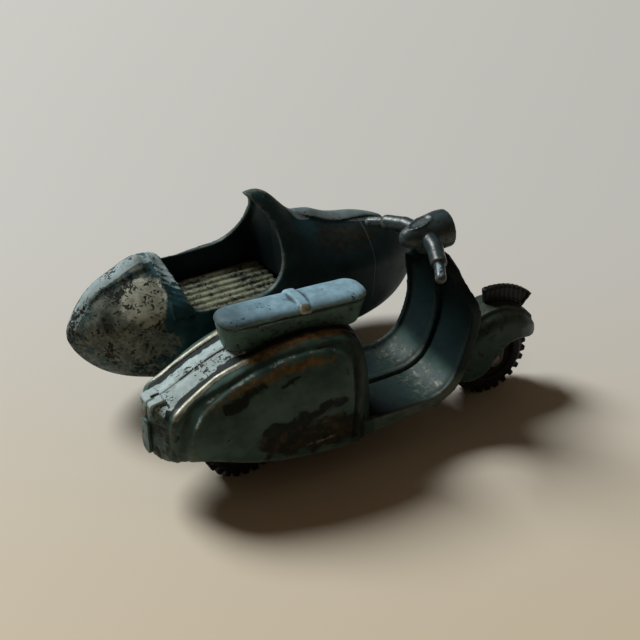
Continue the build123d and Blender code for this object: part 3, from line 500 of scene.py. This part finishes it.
def worn_paint(name, light, deep, pale, bare, oxide, dark, depths, flake=1.0, gloss=0.34, under=None,
               hairline=None, shine=0.16):
    """Old paint on zinc: mottled, pale with wear and painted light, brown or bare where painted masks say,
    pitted, darkened with dirt and painted shade in its hollows, and with painted shade where a mask says.

    light and deep are the paint, pale its chalky wear and painted light, bare the metal under it, oxide the
    rust, dark the dirt and painted shade in hollows and the worn ground (or under, where that is given),
    and the colour after dark is the painted shade's.
    """
    material, board, shader = new_material(name)
    place = board.place()
    ground = worn_through(board, place, board.painted("ground"), 1.1 * flake, 1.7, 0.2)
    chalk = worn_through(board, place, board.painted("chalk"), 0.9 * flake, 1.25, 0.12)
    rust = worn_through(board, place, board.painted("rust"), 0.9 * flake, 1.3, 0.4)
    metal = worn_through(board, place, board.painted("metal"), 0.7 * flake, 1.3, 0.2)
    rubbed = worn_through(board, place, board.times(board.painted("edge"), 0.62), 0.7, 1.4, 0.16)
    pitted = board.group(shared(pits), Place=place, Amount=board.painted("pitted"), Size=0.42 * flake)
    # Painted shade, where its mask says, and dirt with painted shade in the hollows.
    depth = board.painted("depth")
    grime_and_shade = board.times(board.painted("hollow"), 0.85)

    base = mottled(board, place, 2.6, light, deep)
    base = board.mix(ground, base, mottled(board, place, 0.8, under or dark, 0.4))
    base = board.mix(chalk, base, mottled(board, place, 1.1, pale, 0.72))
    base = board.mix(rust, base, mottled(board, place, 0.7, oxide, 0.35))
    base = board.mix(metal, base, mottled(board, place, 0.9, bare, 0.55))
    base = board.mix(board.times(rubbed, 0.5), base, shade(bare, 0.3))
    base = board.mix(board.times(pitted, 0.9), base, shade(dark, 0.8))
    # Painted shade darkens the colour toward the shade colour here.
    base = board.mix(depth, base, depths)
    if hairline:
        base = board.mix(hairline(board, place), base, bare)
    # Dirt and painted shade darken the hollows.
    base = board.mix(grime_and_shade, base, shade(dark, 0.7))
    board.feed(shader["Base Color"], base)

    rough = board.value_mix(board.maths("MAXIMUM", chalk, rust), gloss, 0.55)
    rough = board.value_mix(metal, rough, 0.42)
    rough = board.value_mix(board.maths("MAXIMUM", ground, depth), rough, 0.6)
    rough = board.value_mix(board.maths("MAXIMUM", pitted, grime_and_shade), rough, 0.8)
    board.feed(shader["Roughness"], rough)
    shader["Specular IOR Level"].default_value = shine
    board.feed(shader["Metallic"], board.times(metal, 0.35))

    sunk = board.maths("ADD", board.times(pitted, -1.0), board.times(metal, -0.5))
    layers = board.maths("ADD", sunk, board.times(chalk, 0.4))
    grain = board.group(shared(cast_grain), Place=place, Size=0.6)
    height = board.maths("ADD", board.times(layers, 0.5), board.times(grain, 0.35))
    bumpy(board, shader, height, 0.06, 0.8)
    return material


def moulded(name, tint, dust, gloss):
    """Black plastic or paint: nearly even, dusty in the hollows, rubbed grey on the edges."""
    material, board, shader = new_material(name)
    place = board.place()
    base = mottled(board, place, 1.5, shade(tint, 1.25), shade(tint, 0.7))
    rubbed = worn_through(board, place, board.times(board.painted("edge"), 0.55), 0.6, 1.3, 0.2)
    base = board.mix(board.times(rubbed, 0.6), base, [c * 2.6 + 0.004 for c in tint])
    dusty = worn_through(board, place, board.times(board.painted("hollow"), 0.5), 0.8, 1.2, 0.3)
    base = board.mix(board.times(dusty, 0.5), base, dust)
    board.feed(shader["Base Color"], base)
    board.feed(shader["Roughness"], board.value_mix(dusty, gloss, 0.85))
    shader["Specular IOR Level"].default_value = 0.15
    bumpy(board, shader, board.group(shared(cast_grain), Place=place, Size=0.35), 0.02, 0.6)
    return material


def steel(name, tint, gloss):
    """Dull steel wire and sheet with brown stains."""
    material, board, shader = new_material(name)
    place = board.place()
    base = mottled(board, place, 0.9, tint, 0.55)
    stain = board.group(shared(pits), Place=place, Amount=0.55, Size=0.3)
    base = board.mix(board.times(stain, 0.8), base, (0.05, 0.03, 0.018))
    board.feed(shader["Base Color"], base)
    board.feed(shader["Roughness"], board.value_mix(stain, gloss, 0.8))
    board.feed(shader["Metallic"], board.value_mix(stain, 0.8, 0.1))
    bumpy(board, shader, board.group(shared(cast_grain), Place=place, Size=0.3), 0.02)
    return material


def settings():
    scene = bpy.context.scene
    return scene.toy_casting, scene.toy_sidecar, scene.toy_trim, scene.toy_stage


def clothe(material, nodes):
    """Gives CAD nodes that keep their own shape a finish."""
    for node in nodes:
        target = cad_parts[node]
        for each in target.material_slots:
            each.material = material
        if not target.material_slots:
            target.data.materials.append(material)


# ---- pieces -----------------------------------------------------------------------------------
class TOY_OT_scooter_body(Operator):
    """Both halves of the scooter: deck, beaded cowls, floor and leg shield"""
    bl_idname = "toy.scooter_body"
    bl_label = "Scooter body"

    def execute(self, context):
        look = settings()[0]
        material = worn_paint("casting_paint", look.paint, look.shade_paint, look.pale, look.bare,
                              look.oxide, look.dark, look.depths)
        for node in ("scooter_right_half", "scooter_left_half"):
            skin = Skin(node, look.skin, look.easing)
            right = skin.at * (1, -np.sign(skin.at[:, 1].mean()), 1)
            ridge = near_line(right, CREST, 0.05, 0.4, (0, 1, 2))
            skin.raised(0.14 * ridge + 0.035 * lumps(skin.at, 1.7) + 0.012 * lumps(skin.at, 0.6, 3))
            self.weather(skin)
            skin.finish(node + "_cast", "toy", material)
        return {"FINISHED"}

    @staticmethod
    def weather(skin):
        x, y, z = skin.at.T
        up = skin.normal[:, 2]
        side = np.abs(y)
        right = np.stack([x, -side, z], axis=1)
        ragged = lumps(skin.at, 0.55, 31)
        torn = skin.at + (0.6 * lumps(skin.at, 1.0, 33) + 0.35 * ragged)[:, None] * (0.5, 0, 1)
        cowl = band(-x, 2.4, 3.0)
        shell = band(side, 2.4, 3.0) * cowl

        # The pale deck with its dark fringe and slots, and the crest of the outer bead beside it; the slots
        # are dark with painted shade, the fringe with worn ground and painted shade.
        past_deck = side - profile(x, DECK_HALF) - 0.28 * ragged
        top = cowl * band(z, 10.6, 11.1) * band(up, 0.3, 0.55)
        deck = top * (1 - band(past_deck, -0.1, 0.12)) * (1 - band(x, -15.2, -14.2))
        crest_y = profile(x, [(p[0], -p[1]) for p in CREST_TOP])
        fringe = top * band(past_deck, -0.05, 0.15) * (1 - band(side - crest_y, -0.45, -0.2))
        slots = near_line(skin.at, [(-21.1, 0, 13.2), (-19.9, 0, 13.7)], 0.12, 0.15, (0, 1, 2))
        slots += near_line(skin.at, [(-18.3, 0, 14.4), (-16.3, 0, 15.1)], 0.10, 0.12, (0, 1, 2))
        cream = near_line(right, CREST_BARE, 0.22, 0.22, (0, 1, 2)) * cowl
        warm = near_line(right, CREST_RUSTY, 0.35, 0.55, (0, 1, 2)) * cowl

        # The cowl's side: rusty shoulder, pale edge, channel, chips, the large worn area below and the
        # front face; painted shade darkens the channel and the front face and deepens the chips and the
        # worn area.
        shoulder = near_line(skin.at, SHOULDER, 0.08, 0.78) * shell * (0.45 + 0.55 * band(x, -21.0, -15.5))
        shoulder *= 1 - 0.45 * band(x, -9.0, -6.9)
        ridge = near_line(skin.at, RIDGE, 0.06, 0.16) * shell
        channel = near_line(skin.at, CHANNEL, 0.12, 0.3) * shell
        chips = near_line(torn, [(-18.9, 11.6), (-17.2, 12.3), (-15.6, 12.9), (-14.6, 13.4)], 0.05, 0.6)
        chips = shell * (chips + near_line(torn, [(-12.8, 12.9), (-11.2, 13.2)], 0.0, 0.5))
        low = near_line(torn, [(-14.9, 8.7), (-10.5, 8.9), (-6.4, 9.6)], 0.1, 0.9) * shell
        foot = near_line(torn, [(-14.2, 7.1), (-10.5, 6.5), (-5.7, 5.9)], 1.1, 1.3) * shell
        scrape = near_line(skin.at, [(-10.5, 5.4), (-7.6, 5.5)], 0.1, 0.3) * shell
        # The cowl's front face, which faces the shield, is darkened with painted shade.
        front = band(x, -5.1, -4.4) * cowl
        tail = band(-x, 22.5, 23.8) * (1 - band(z, 10.6, 11.4))

        # The floor, its bend up to the leg shield, and the shield, darkened with painted shade, least at
        # the bend.
        floor = band(up, 0.6, 0.85) * band(x, -2.8, -2.0) * (1 - band(z, 7.0, 9.0))
        bend = floor * band(x, 1.5, 4.5)
        shield = band(x, 5.0, 6.0) * band(z, 6.5, 8.0)

        skin.wear()
        # Painted shade deepens the channel and the deck's slots.
        skin.deepen(0.45 * channel + slots)
        # The last mask is painted shade: the shield and floor, the cowl's front face, and more darkness on
        # the chips, the fringe and the worn area low on the cowl.
        skin.paint(chalk=0.95 * deck + 0.36 * ridge + 0.1 * bend,
                   rust=0.7 * shoulder * (1 - 0.7 * chips) + 0.78 * warm + 0.3 * foot + 0.12 * floor,
                   metal=0.9 * cream + 0.24 * bend + 0.12 * floor + 0.5 * scrape,
                   ground=0.8 * low + 0.75 * foot + 0.85 * chips + 1.0 * fringe + 0.2 * shield + 0.5 * tail,
                   pitted=0.74 * deck + 0.5 * floor + 0.3 * shell + 0.1 * shield,
                   depth=0.95 * shield + 0.92 * floor - 0.3 * bend + 0.5 * low + 0.45 * foot + 0.5 * chips
                   + 0.7 * fringe + 0.6 * front)


class TOY_OT_bench_seat(Operator):
    """Seat casting: drawn-in base, piping groove, domed cushion and strap"""
    bl_idname = "toy.bench_seat"
    bl_label = "Bench seat"

    def execute(self, context):
        look = settings()[0]
        # The seat's paint is the cowls' paint made lighter: painted light on its sides, which lie in shade.
        material = worn_paint("seat_paint", shade(look.paint, 1.6), look.paint, look.seat, look.bare,
                              look.oxide, look.dark, look.depths, 0.8, 0.36)
        skin = Skin("bench_seat", look.fine_skin, 7)
        skin.raised(0.03 * lumps(skin.at, 1.5, 2))
        x, _, z = skin.at.T
        up = skin.normal[:, 2]
        # The cushion's top: silver-blue wear with a painted sky highlight.
        top = band(up, 0.15, 0.5) * band(z, 17.2, 17.7)
        end = patch(skin.at, (-8.2, -2.5, 18.4), (0.9, 0.9, 0.8))
        skin.wear(30, (0.03, 0.16), (0.005, 0.05))
        # Painted shade over the rear of the cushion's top.
        left = 1 - band(x, -17.5, -9.5)
        skin.paint(chalk=top, metal=0.95 * end, pitted=0.16 * top + 0.3, ground=0.3 * (1 - top),
                   depth=0.7 * left * top)
        skin.finish("bench_seat_cast", "toy", material)
        return {"FINISHED"}


class TOY_OT_headset(Operator):
    """Headset: lamp shell, dial, bars, collars and grips in one casting"""
    bl_idname = "toy.headset"
    bl_label = "Headset"

    def execute(self, context):
        look = settings()[0]
        material = worn_paint("headset_metal", look.headset, shade(look.headset, 0.5), look.seat,
                              look.bare, look.oxide, look.dark, look.depths, 0.6, 0.32, shine=0.4)
        skin = Skin("headset", look.fine_skin, 4)
        skin.raised(0.02 * lumps(skin.at, 0.9, 5))
        _, y, z = skin.at.T
        up = skin.normal[:, 2]
        grip = band(np.abs(y), 5.2, 5.6)
        skin.wear(16)
        skin.paint(chalk=0.16 * band(up, 0.4, 0.95) + 0.28 * grip,
                   metal=0.1 * band(up, 0.6, 0.95) + 0.12 * grip, pitted=0.3 + 0 * z, ground=0.35 + 0 * z)
        skin.finish("headset_cast", "toy", material)
        return {"FINISHED"}


class TOY_OT_front_mudguard(Operator):
    """Front mudguard with its crest and the links that hold the axle"""
    bl_idname = "toy.front_mudguard"
    bl_label = "Front mudguard"

    def execute(self, context):
        look = settings()[0]
        material = worn_paint("guard_paint", shade(look.paint, 0.6), look.shade_paint, look.pale,
                              look.bare, look.oxide, look.dark, look.depths, 0.8, 0.34)
        skin = Skin("front_mudguard", look.fine_skin, 5)
        skin.raised(0.03 * lumps(skin.at, 1.4, 7))
        up = skin.normal[:, 2]
        skin.wear()
        # The last mask paints shade on the guard's upward faces.
        skin.paint(chalk=0.05 * band(up, 0.5, 0.95), rust=0.3 * band(up, 0.2, 0.9),
                   ground=0.35 + 0 * up, pitted=0.3 + 0 * up, depth=0.25 * band(up, 0.0, 0.5))
        skin.finish("front_mudguard_cast", "toy", material)
        return {"FINISHED"}


class TOY_OT_plates_and_lamp(Operator):
    """The two blank number plates and the tail lamp"""
    bl_idname = "toy.plates_and_lamp"
    bl_label = "Plates and tail lamp"

    def execute(self, context):
        look, _, trim, _ = settings()
        black = moulded("black_plate", trim.plate, (0.012, 0.013, 0.012), 0.4)
        blade = Skin("front_number_plate", look.fine_skin * 0.6, 3)
        blade.raised(0.018 * np.sin(blade.at[:, 0] * 2 * np.pi / 0.62))
        blade.wear(12)
        blade.finish("front_number_plate_cast", "toy", black)
        for node, worn in (("tail_lamp", 0.9), ("rear_number_plate", 0.25)):
            skin = Skin(node, look.fine_skin * 0.6, 6)
            skin.raised(0.03 * lumps(skin.at, 0.8, 9))
            up = skin.normal[:, 2]
            # A slot in the lamp's top, dark with painted shade.
            slot = near_line(skin.at, [(-25.6, -0.35), (-24.2, -0.35)], 0.1, 0.15, (0, 1)) * worn
            skin.wear(14, (0.3, 0.6), (0.3, 0.6))
            skin.paint(chalk=worn * band(up, -0.6, 0.5), ground=0.3 * (1 - up), pitted=0.5 + 0 * up,
                       depth=0.9 * slot)
            skin.finish(node + "_cast", "toy", MADE["casting_paint"])
        return {"FINISHED"}


class TOY_OT_wheels(Operator):
    """Three one-piece black wheels with two rows of tread knobs"""
    bl_idname = "toy.wheels"
    bl_label = "Wheels"

    def execute(self, context):
        look, _, trim, _ = settings()
        black = moulded("black_plastic", trim.plastic, (0.022, 0.019, 0.015), 0.45)
        for node in ("front_wheel", "rear_wheel", "sidecar_wheel"):
            skin = Skin(node, look.fine_skin, 2)
            skin.wear(12)
            skin.finish(node + "_moulded", node, black)
        return {"FINISHED"}


def bonnet_hairline(board, place):
    """One thin curved scratch down the near side of the bonnet."""
    split = board.put("ShaderNodeSeparateXYZ")
    board.feed(split.inputs[0], place)
    x = board.maths("SUBTRACT", split.outputs[0], ORIGIN.x / MM)
    y = board.maths("SUBTRACT", split.outputs[1], ORIGIN.y / MM + HULL_Y)
    z = split.outputs[2]
    wave = board.times(board.maths("SINE", board.times(z, 0.55)), 0.22)
    away = board.maths("ABSOLUTE", board.maths("SUBTRACT", x, board.maths("ADD", wave, 8.75)))
    line = board.maths("SUBTRACT", 1.0, board.step(away, 0.02, 0.07))
    span = board.times(board.step(z, 6.0, 7.0), board.maths("LESS_THAN", y, -0.8))
    return board.times(board.times(line, span), 0.22)


class TOY_OT_sidecar_body(Operator):
    """Boat-shaped hull with windscreen, folded coaming, boot panel and bonnet panel"""
    bl_idname = "toy.sidecar_body"
    bl_label = "Sidecar body"

    def execute(self, context):
        cast, look, _, _ = settings()
        # The hull's painted shade colour is a dim share of its deep paint.
        material = worn_paint("sidecar_paint", look.paint, look.shade_paint, look.pale, look.bare,
                              look.oxide, cast.dark, shade(look.shade_paint, 0.3), 1.0, 0.48, look.under,
                              bonnet_hairline)
        skin = Skin("sidecar_body", cast.skin, cast.easing)
        self.weather(skin, self.fold(skin, look))
        skin.finish("sidecar_body_cast", "toy", material)
        return {"FINISHED"}

    @staticmethod
    def fold(skin, look):
        """Slanting folds round the padded roll behind the cockpit, and a little unevenness."""
        x, y, z = skin.at.T
        across = y - HULL_Y
        out = skin.normal[:, 1] * across + skin.normal[:, 2] * (z - 12.0)
        roll = band(x, -16.9, -16.3) * (1 - band(x, -14.3, -13.7)) * band(z, 12.0, 12.8)
        roll *= band(out, 0.0, 1.5)
        girth = np.arctan2(z - 10.0, across) * 6.5
        turn = (girth + 0.9 * (x + 15.5) * np.sign(across + 1e-9)) / (look.fold_pitch / MM)
        turn = turn + 0.5 * lumps(skin.at, 2.0, 11)
        folds = 0.5 + 0.5 * np.sin(2 * np.pi * turn)
        height = look.fold_height / MM
        foot = band(x, -17.0, -16.5) * (1 - band(x, -14.4, -13.9)) * (1 - band(z, 12.3, 13.8))
        foot *= band(z, 11.6, 12.3) * band(out, 0.0, 1.5)
        skin.raised(roll * height * (folds ** 1.5 - 0.5) - 0.36 * foot + 0.035 * lumps(skin.at, 2.1, 12))
        return roll * folds

    @staticmethod
    def weather(skin, folds):
        """Paints the wear; here y is measured from the hull's own middle line."""
        x, y, z = skin.at.T
        y = y - HULL_Y
        local = np.stack([x, y, z], axis=1)
        even = np.stack([x, np.abs(y), z], axis=1)
        up = skin.normal[:, 2]
        out = skin.normal[:, 1] * y + skin.normal[:, 2] * (z - 10.0) + skin.normal[:, 0] * x * 0.05
        shell = band(out, 0.0, 1.0)
        inside = 1 - shell
        drift = lumps(skin.at, 2.4, 41)

        # The boot: pale panel, silver and worn patches, a stain, a blotch and a seam.
        tail = band(-x + (0.5 + 0.9 * (1 - band(z, 11.5, 13.5))) * drift, 15.9, 17.5) * shell
        panel = near_line(local, [(-25.6, 0), (-17, 0)], 0.9, 0.3, (0, 1)) * tail * band(z, 10.4, 11.2)
        silver = patch(local, (-18.4, -4.1, 14.2), (2.7, 2.5, 2.3), 0.5)
        worn = patch(local, (-20.6, -4.2, 11.6), (4.8, 3.6, 4.0), 0.6)
        far_side = patch(local, (-20.0, 4.4, 12.5), (4.2, 3.0, 4.0), 0.5)
        bare = 0.95 * silver + 0.25 * worn + 0.2 * far_side
        stain = patch(local, (-17.6, -5.3, 12.4), (1.5, 1.6, 1.3), 0.6)
        blotch = patch(local, (-22.9, -3.2, 12.4), (0.7, 1.0, 1.2), 0.5)
        seam = near_line(local, [(-26.4, 0.5, 9.9), (-24.2, -1.0, 13.6), (-20.5, -1.7, 15.3),
                                 (-17.0, -1.8, 16.3)], 0.08, 0.18, (0, 1, 2))

        # The bonnet: pale panel, brown band on both sides of it and the rough nose.
        bonnet = near_line(local, [(1.4, 0), (12.4, 0)], 1.25, 0.3, (0, 1)) * band(up, 0.5, 0.8) * shell
        ahead = band(x + 2.0 * drift, -1.5, 4.0) * (1 - band(x + 1.5 * drift, 9.0, 13.0)) * shell
        brown = ahead * near_line(even, [(2.0, 3.3), (10.0, 3.2)], 0.9, 1.6, (0, 1))
        brown *= band(z + 0.7 * drift, 11.6, 13.6)
        nose = patch(local, (12.2, -3.6, 8.5), (3.0, 2.6, 3.6), 0.5)

        # The coaming's roll and the windscreen, whose inner face is lit high up with painted light.
        roll = band(x, -16.9, -16.5) * (1 - band(x, -14.2, -13.8)) * band(z, 12.0, 12.8) * shell
        crown = roll * band(up, 0.75, 0.98)
        flank = roll * (0.1 + 0.25 * band(z, 14.2, 15.6))
        peak = band(z, 18.8, 21.2)
        # Painted light on the upper inner face of the windscreen.
        pane = inside * band(z, 15.5, 19.5)

        skin.wear(24, (0.03, 0.15))
        # Dirt and painted shade along the boot's seam and in its blotch.
        skin.deepen(0.8 * blotch * tail + 0.8 * seam * tail)
        # The last mask is painted shade: inside the cockpit, less of it high on the windscreen, and over
        # the hull's front part except the screen's peak.
        skin.paint(chalk=0.8 * panel + 1.0 * bonnet + 0.38 * pane + 0.04 * folds + flank + 0.5 * crown
                   + 0.22 * peak,
                   metal=tail * bare * (1 - 0.9 * panel) + 0.25 * peak,
                   rust=0.62 * brown + 0.3 * peak + 0.72 * stain * tail,
                   ground=tail * (0.48 + 0.42 * worn),
                   pitted=0.85 * tail + 0.35 * bonnet + 0.4 * nose * shell + 0.5 * roll + 0.5 * pane,
                   depth=0.75 * inside * (1 - 0.8 * band(z, 14.5, 17.5))
                   + 0.5 * band(x, -5.0, 0.0) * (1 - peak))


class TOY_OT_sidecar_inside(Operator):
    """Ribbed bench, and the plate that closes the hull from below"""
    bl_idname = "toy.sidecar_inside"
    bl_label = "Sidecar bench and base"

    def execute(self, context):
        cast, look, _, _ = settings()
        material = worn_paint("bench_metal", shade(look.bench, 0.45), shade(look.bench, 0.25), look.bench,
                              look.bench, cast.oxide, cast.dark, cast.depths, 0.6, 0.65)
        skin = Skin("sidecar_bench", cast.fine_skin, 30)
        skin.raised(0.04 * lumps(skin.at, 0.8, 21))
        up = band(skin.normal[:, 2], -0.3, 0.4) * band(skin.at[:, 2], 8.6, 9.0)
        skin.wear(16, (0.01, 0.08), (0.05, 0.5))
        # The bench's rear end lies in the coaming's shadow, painted here together with patchy dirt.
        shadowed_end = 1 - band(skin.at[:, 0], -13.5, -10.5)
        grime_and_shadow = np.clip(0.5 + 0.5 * lumps(skin.at, 2.2, 23) + 0.6 * shadowed_end, 0, 1)
        skin.paint(chalk=0.72 * up - 0.35 * grime_and_shadow, pitted=0.42 * up + 0.2, ground=0.3 + 0.3 * grime_and_shadow,
                   rust=0.15 * up, depth=0.3 * grime_and_shadow)
        skin.finish("sidecar_bench_cast", "toy", material)
        base = Skin("sidecar_base", cast.skin, 3)
        base.raised(0.02 * lumps(base.at, 1.5, 22))
        base.wear(16)
        base.paint(pitted=0.3 + 0 * base.at[:, 2], ground=0.3 + 0 * base.at[:, 2])
        base.finish("sidecar_base_cast", "toy", MADE["sidecar_paint"])
        return {"FINISHED"}


class TOY_OT_arms_and_pins(Operator):
    """The two arms to the sidecar, and all axles, rivets, dowels and the steering stem"""
    bl_idname = "toy.arms_and_pins"
    bl_label = "Arms and pins"

    def execute(self, context):
        trim = settings()[2]
        clothe(steel("arm_metal", shade(trim.steel, 0.6), 0.5),
               ("front_sidecar_arm", "rear_sidecar_arm"))
        clothe(steel("steel_pins", trim.steel, 0.38),
               ("front_axle", "rear_axle", "sidecar_axle", "arm_rivets", "base_rivets", "body_dowels",
                "steering_stem"))
        return {"FINISHED"}


# ---- stage ------------------------------------------------------------------------------------
class TOY_OT_stage(Operator):
    """Pale floor, one large soft lamp, even fill and the camera"""
    bl_idname = "toy.stage"
    bl_label = "Stage"

    def execute(self, context):
        look = settings()[3]
        scene = bpy.context.scene
        scene.view_settings.view_transform = "Standard"
        self.floor(scene, look)
        self.lamps(scene, look)
        self.camera(scene, look)
        return {"FINISHED"}

    @staticmethod
    def floor(scene, look):
        mesh = bpy.data.meshes.new("floor")
        half = FLOOR_HALF
        mesh.from_pydata([(-half, -half, 0), (half, -half, 0), (half, half, 0), (-half, half, 0)], [],
                         [(0, 1, 2, 3)])
        floor = bpy.data.objects.new("floor", mesh)
        scene.collection.objects.link(floor)
        # The floor is warmer towards the camera, a painted warm tint that also warms the shadow there.
        material, board, shader = new_material("pale_floor")
        where = board.put("ShaderNodeSeparateXYZ")
        board.feed(where.inputs[0], board.place())
        away = board.maths("ADD", board.times(where.outputs[0], 0.5), board.times(where.outputs[1], 0.86))
        base = board.mix(board.step(away, -62.0, 42.0), look.warm_floor, look.floor)
        board.feed(shader["Base Color"], base)
        shader["Roughness"].default_value = 0.6
        mesh.materials.append(material)

    @staticmethod
    def lamps(scene, look):
        world = bpy.data.worlds.new("soft_room")
        world.use_nodes = True
        world.node_tree.nodes["Background"].inputs["Color"].default_value = (*look.fill, 1)
        scene.world = world
        lamp = bpy.data.lights.new("key", "AREA")
        lamp.energy, lamp.shape, lamp.size = look.key, "DISK", KEY_SIZE
        lamp.color = (0.96, 1.0, 1.0)
        key = bpy.data.objects.new("key", lamp)
        towards = Vector(KEY_TOWARDS).normalized()
        key.location = ORIGIN + towards * KEY_AWAY
        key.rotation_mode = "QUATERNION"
        key.rotation_quaternion = towards.to_track_quat("Z", "Y")
        scene.collection.objects.link(key)

    @staticmethod
    def camera(scene, look):
        lens = bpy.data.cameras.new("camera")
        lens.lens, lens.sensor_width = look.lens, 36.0
        lens.clip_start, lens.clip_end = 0.005, 10
        camera = bpy.data.objects.new("camera", lens)
        eye = Vector(EYE) * MM
        aim = Vector(AIM) * MM
        camera.location = ORIGIN + eye
        roll = Matrix.Rotation(math.radians(ROLL), 3, "Z")
        turn = (aim - eye).to_track_quat("-Z", "Y").to_matrix() @ roll
        camera.rotation_euler = turn.to_euler()
        scene.collection.objects.link(camera)
        scene.camera = camera


PIECES = (TOY_OT_scooter_body, TOY_OT_bench_seat, TOY_OT_headset, TOY_OT_front_mudguard,
          TOY_OT_plates_and_lamp, TOY_OT_wheels, TOY_OT_sidecar_body, TOY_OT_sidecar_inside,
          TOY_OT_arms_and_pins, TOY_OT_stage)


class TOY_PT_scooter(Panel):
    """Lists the pieces and their settings"""
    bl_idname = "TOY_PT_scooter"
    bl_label = "Scooter with sidecar"
    bl_space_type = "VIEW_3D"
    bl_region_type = "UI"
    bl_category = "Scooter"

    def draw(self, context):
        for piece in PIECES:
            self.layout.operator(piece.bl_idname)
        for name, kind in SETTINGS:
            box = self.layout.box()
            for field in kind.__annotations__:
                box.prop(getattr(context.scene, name), field)


def register():
    for kind in (*(k for _, k in SETTINGS), *PIECES, TOY_PT_scooter):
        bpy.utils.register_class(kind)
    for name, kind in SETTINGS:
        setattr(bpy.types.Scene, name, PointerProperty(type=kind))


def unregister():
    for name, _ in SETTINGS:
        delattr(bpy.types.Scene, name)
    for kind in (TOY_PT_scooter, *reversed(PIECES), *(k for _, k in SETTINGS)):
        bpy.utils.unregister_class(kind)


def main():
    register()
    for piece in PIECES:
        area, name = piece.bl_idname.split(".")
        getattr(getattr(bpy.ops, area), name)()


if __name__ == "__main__":
    main()
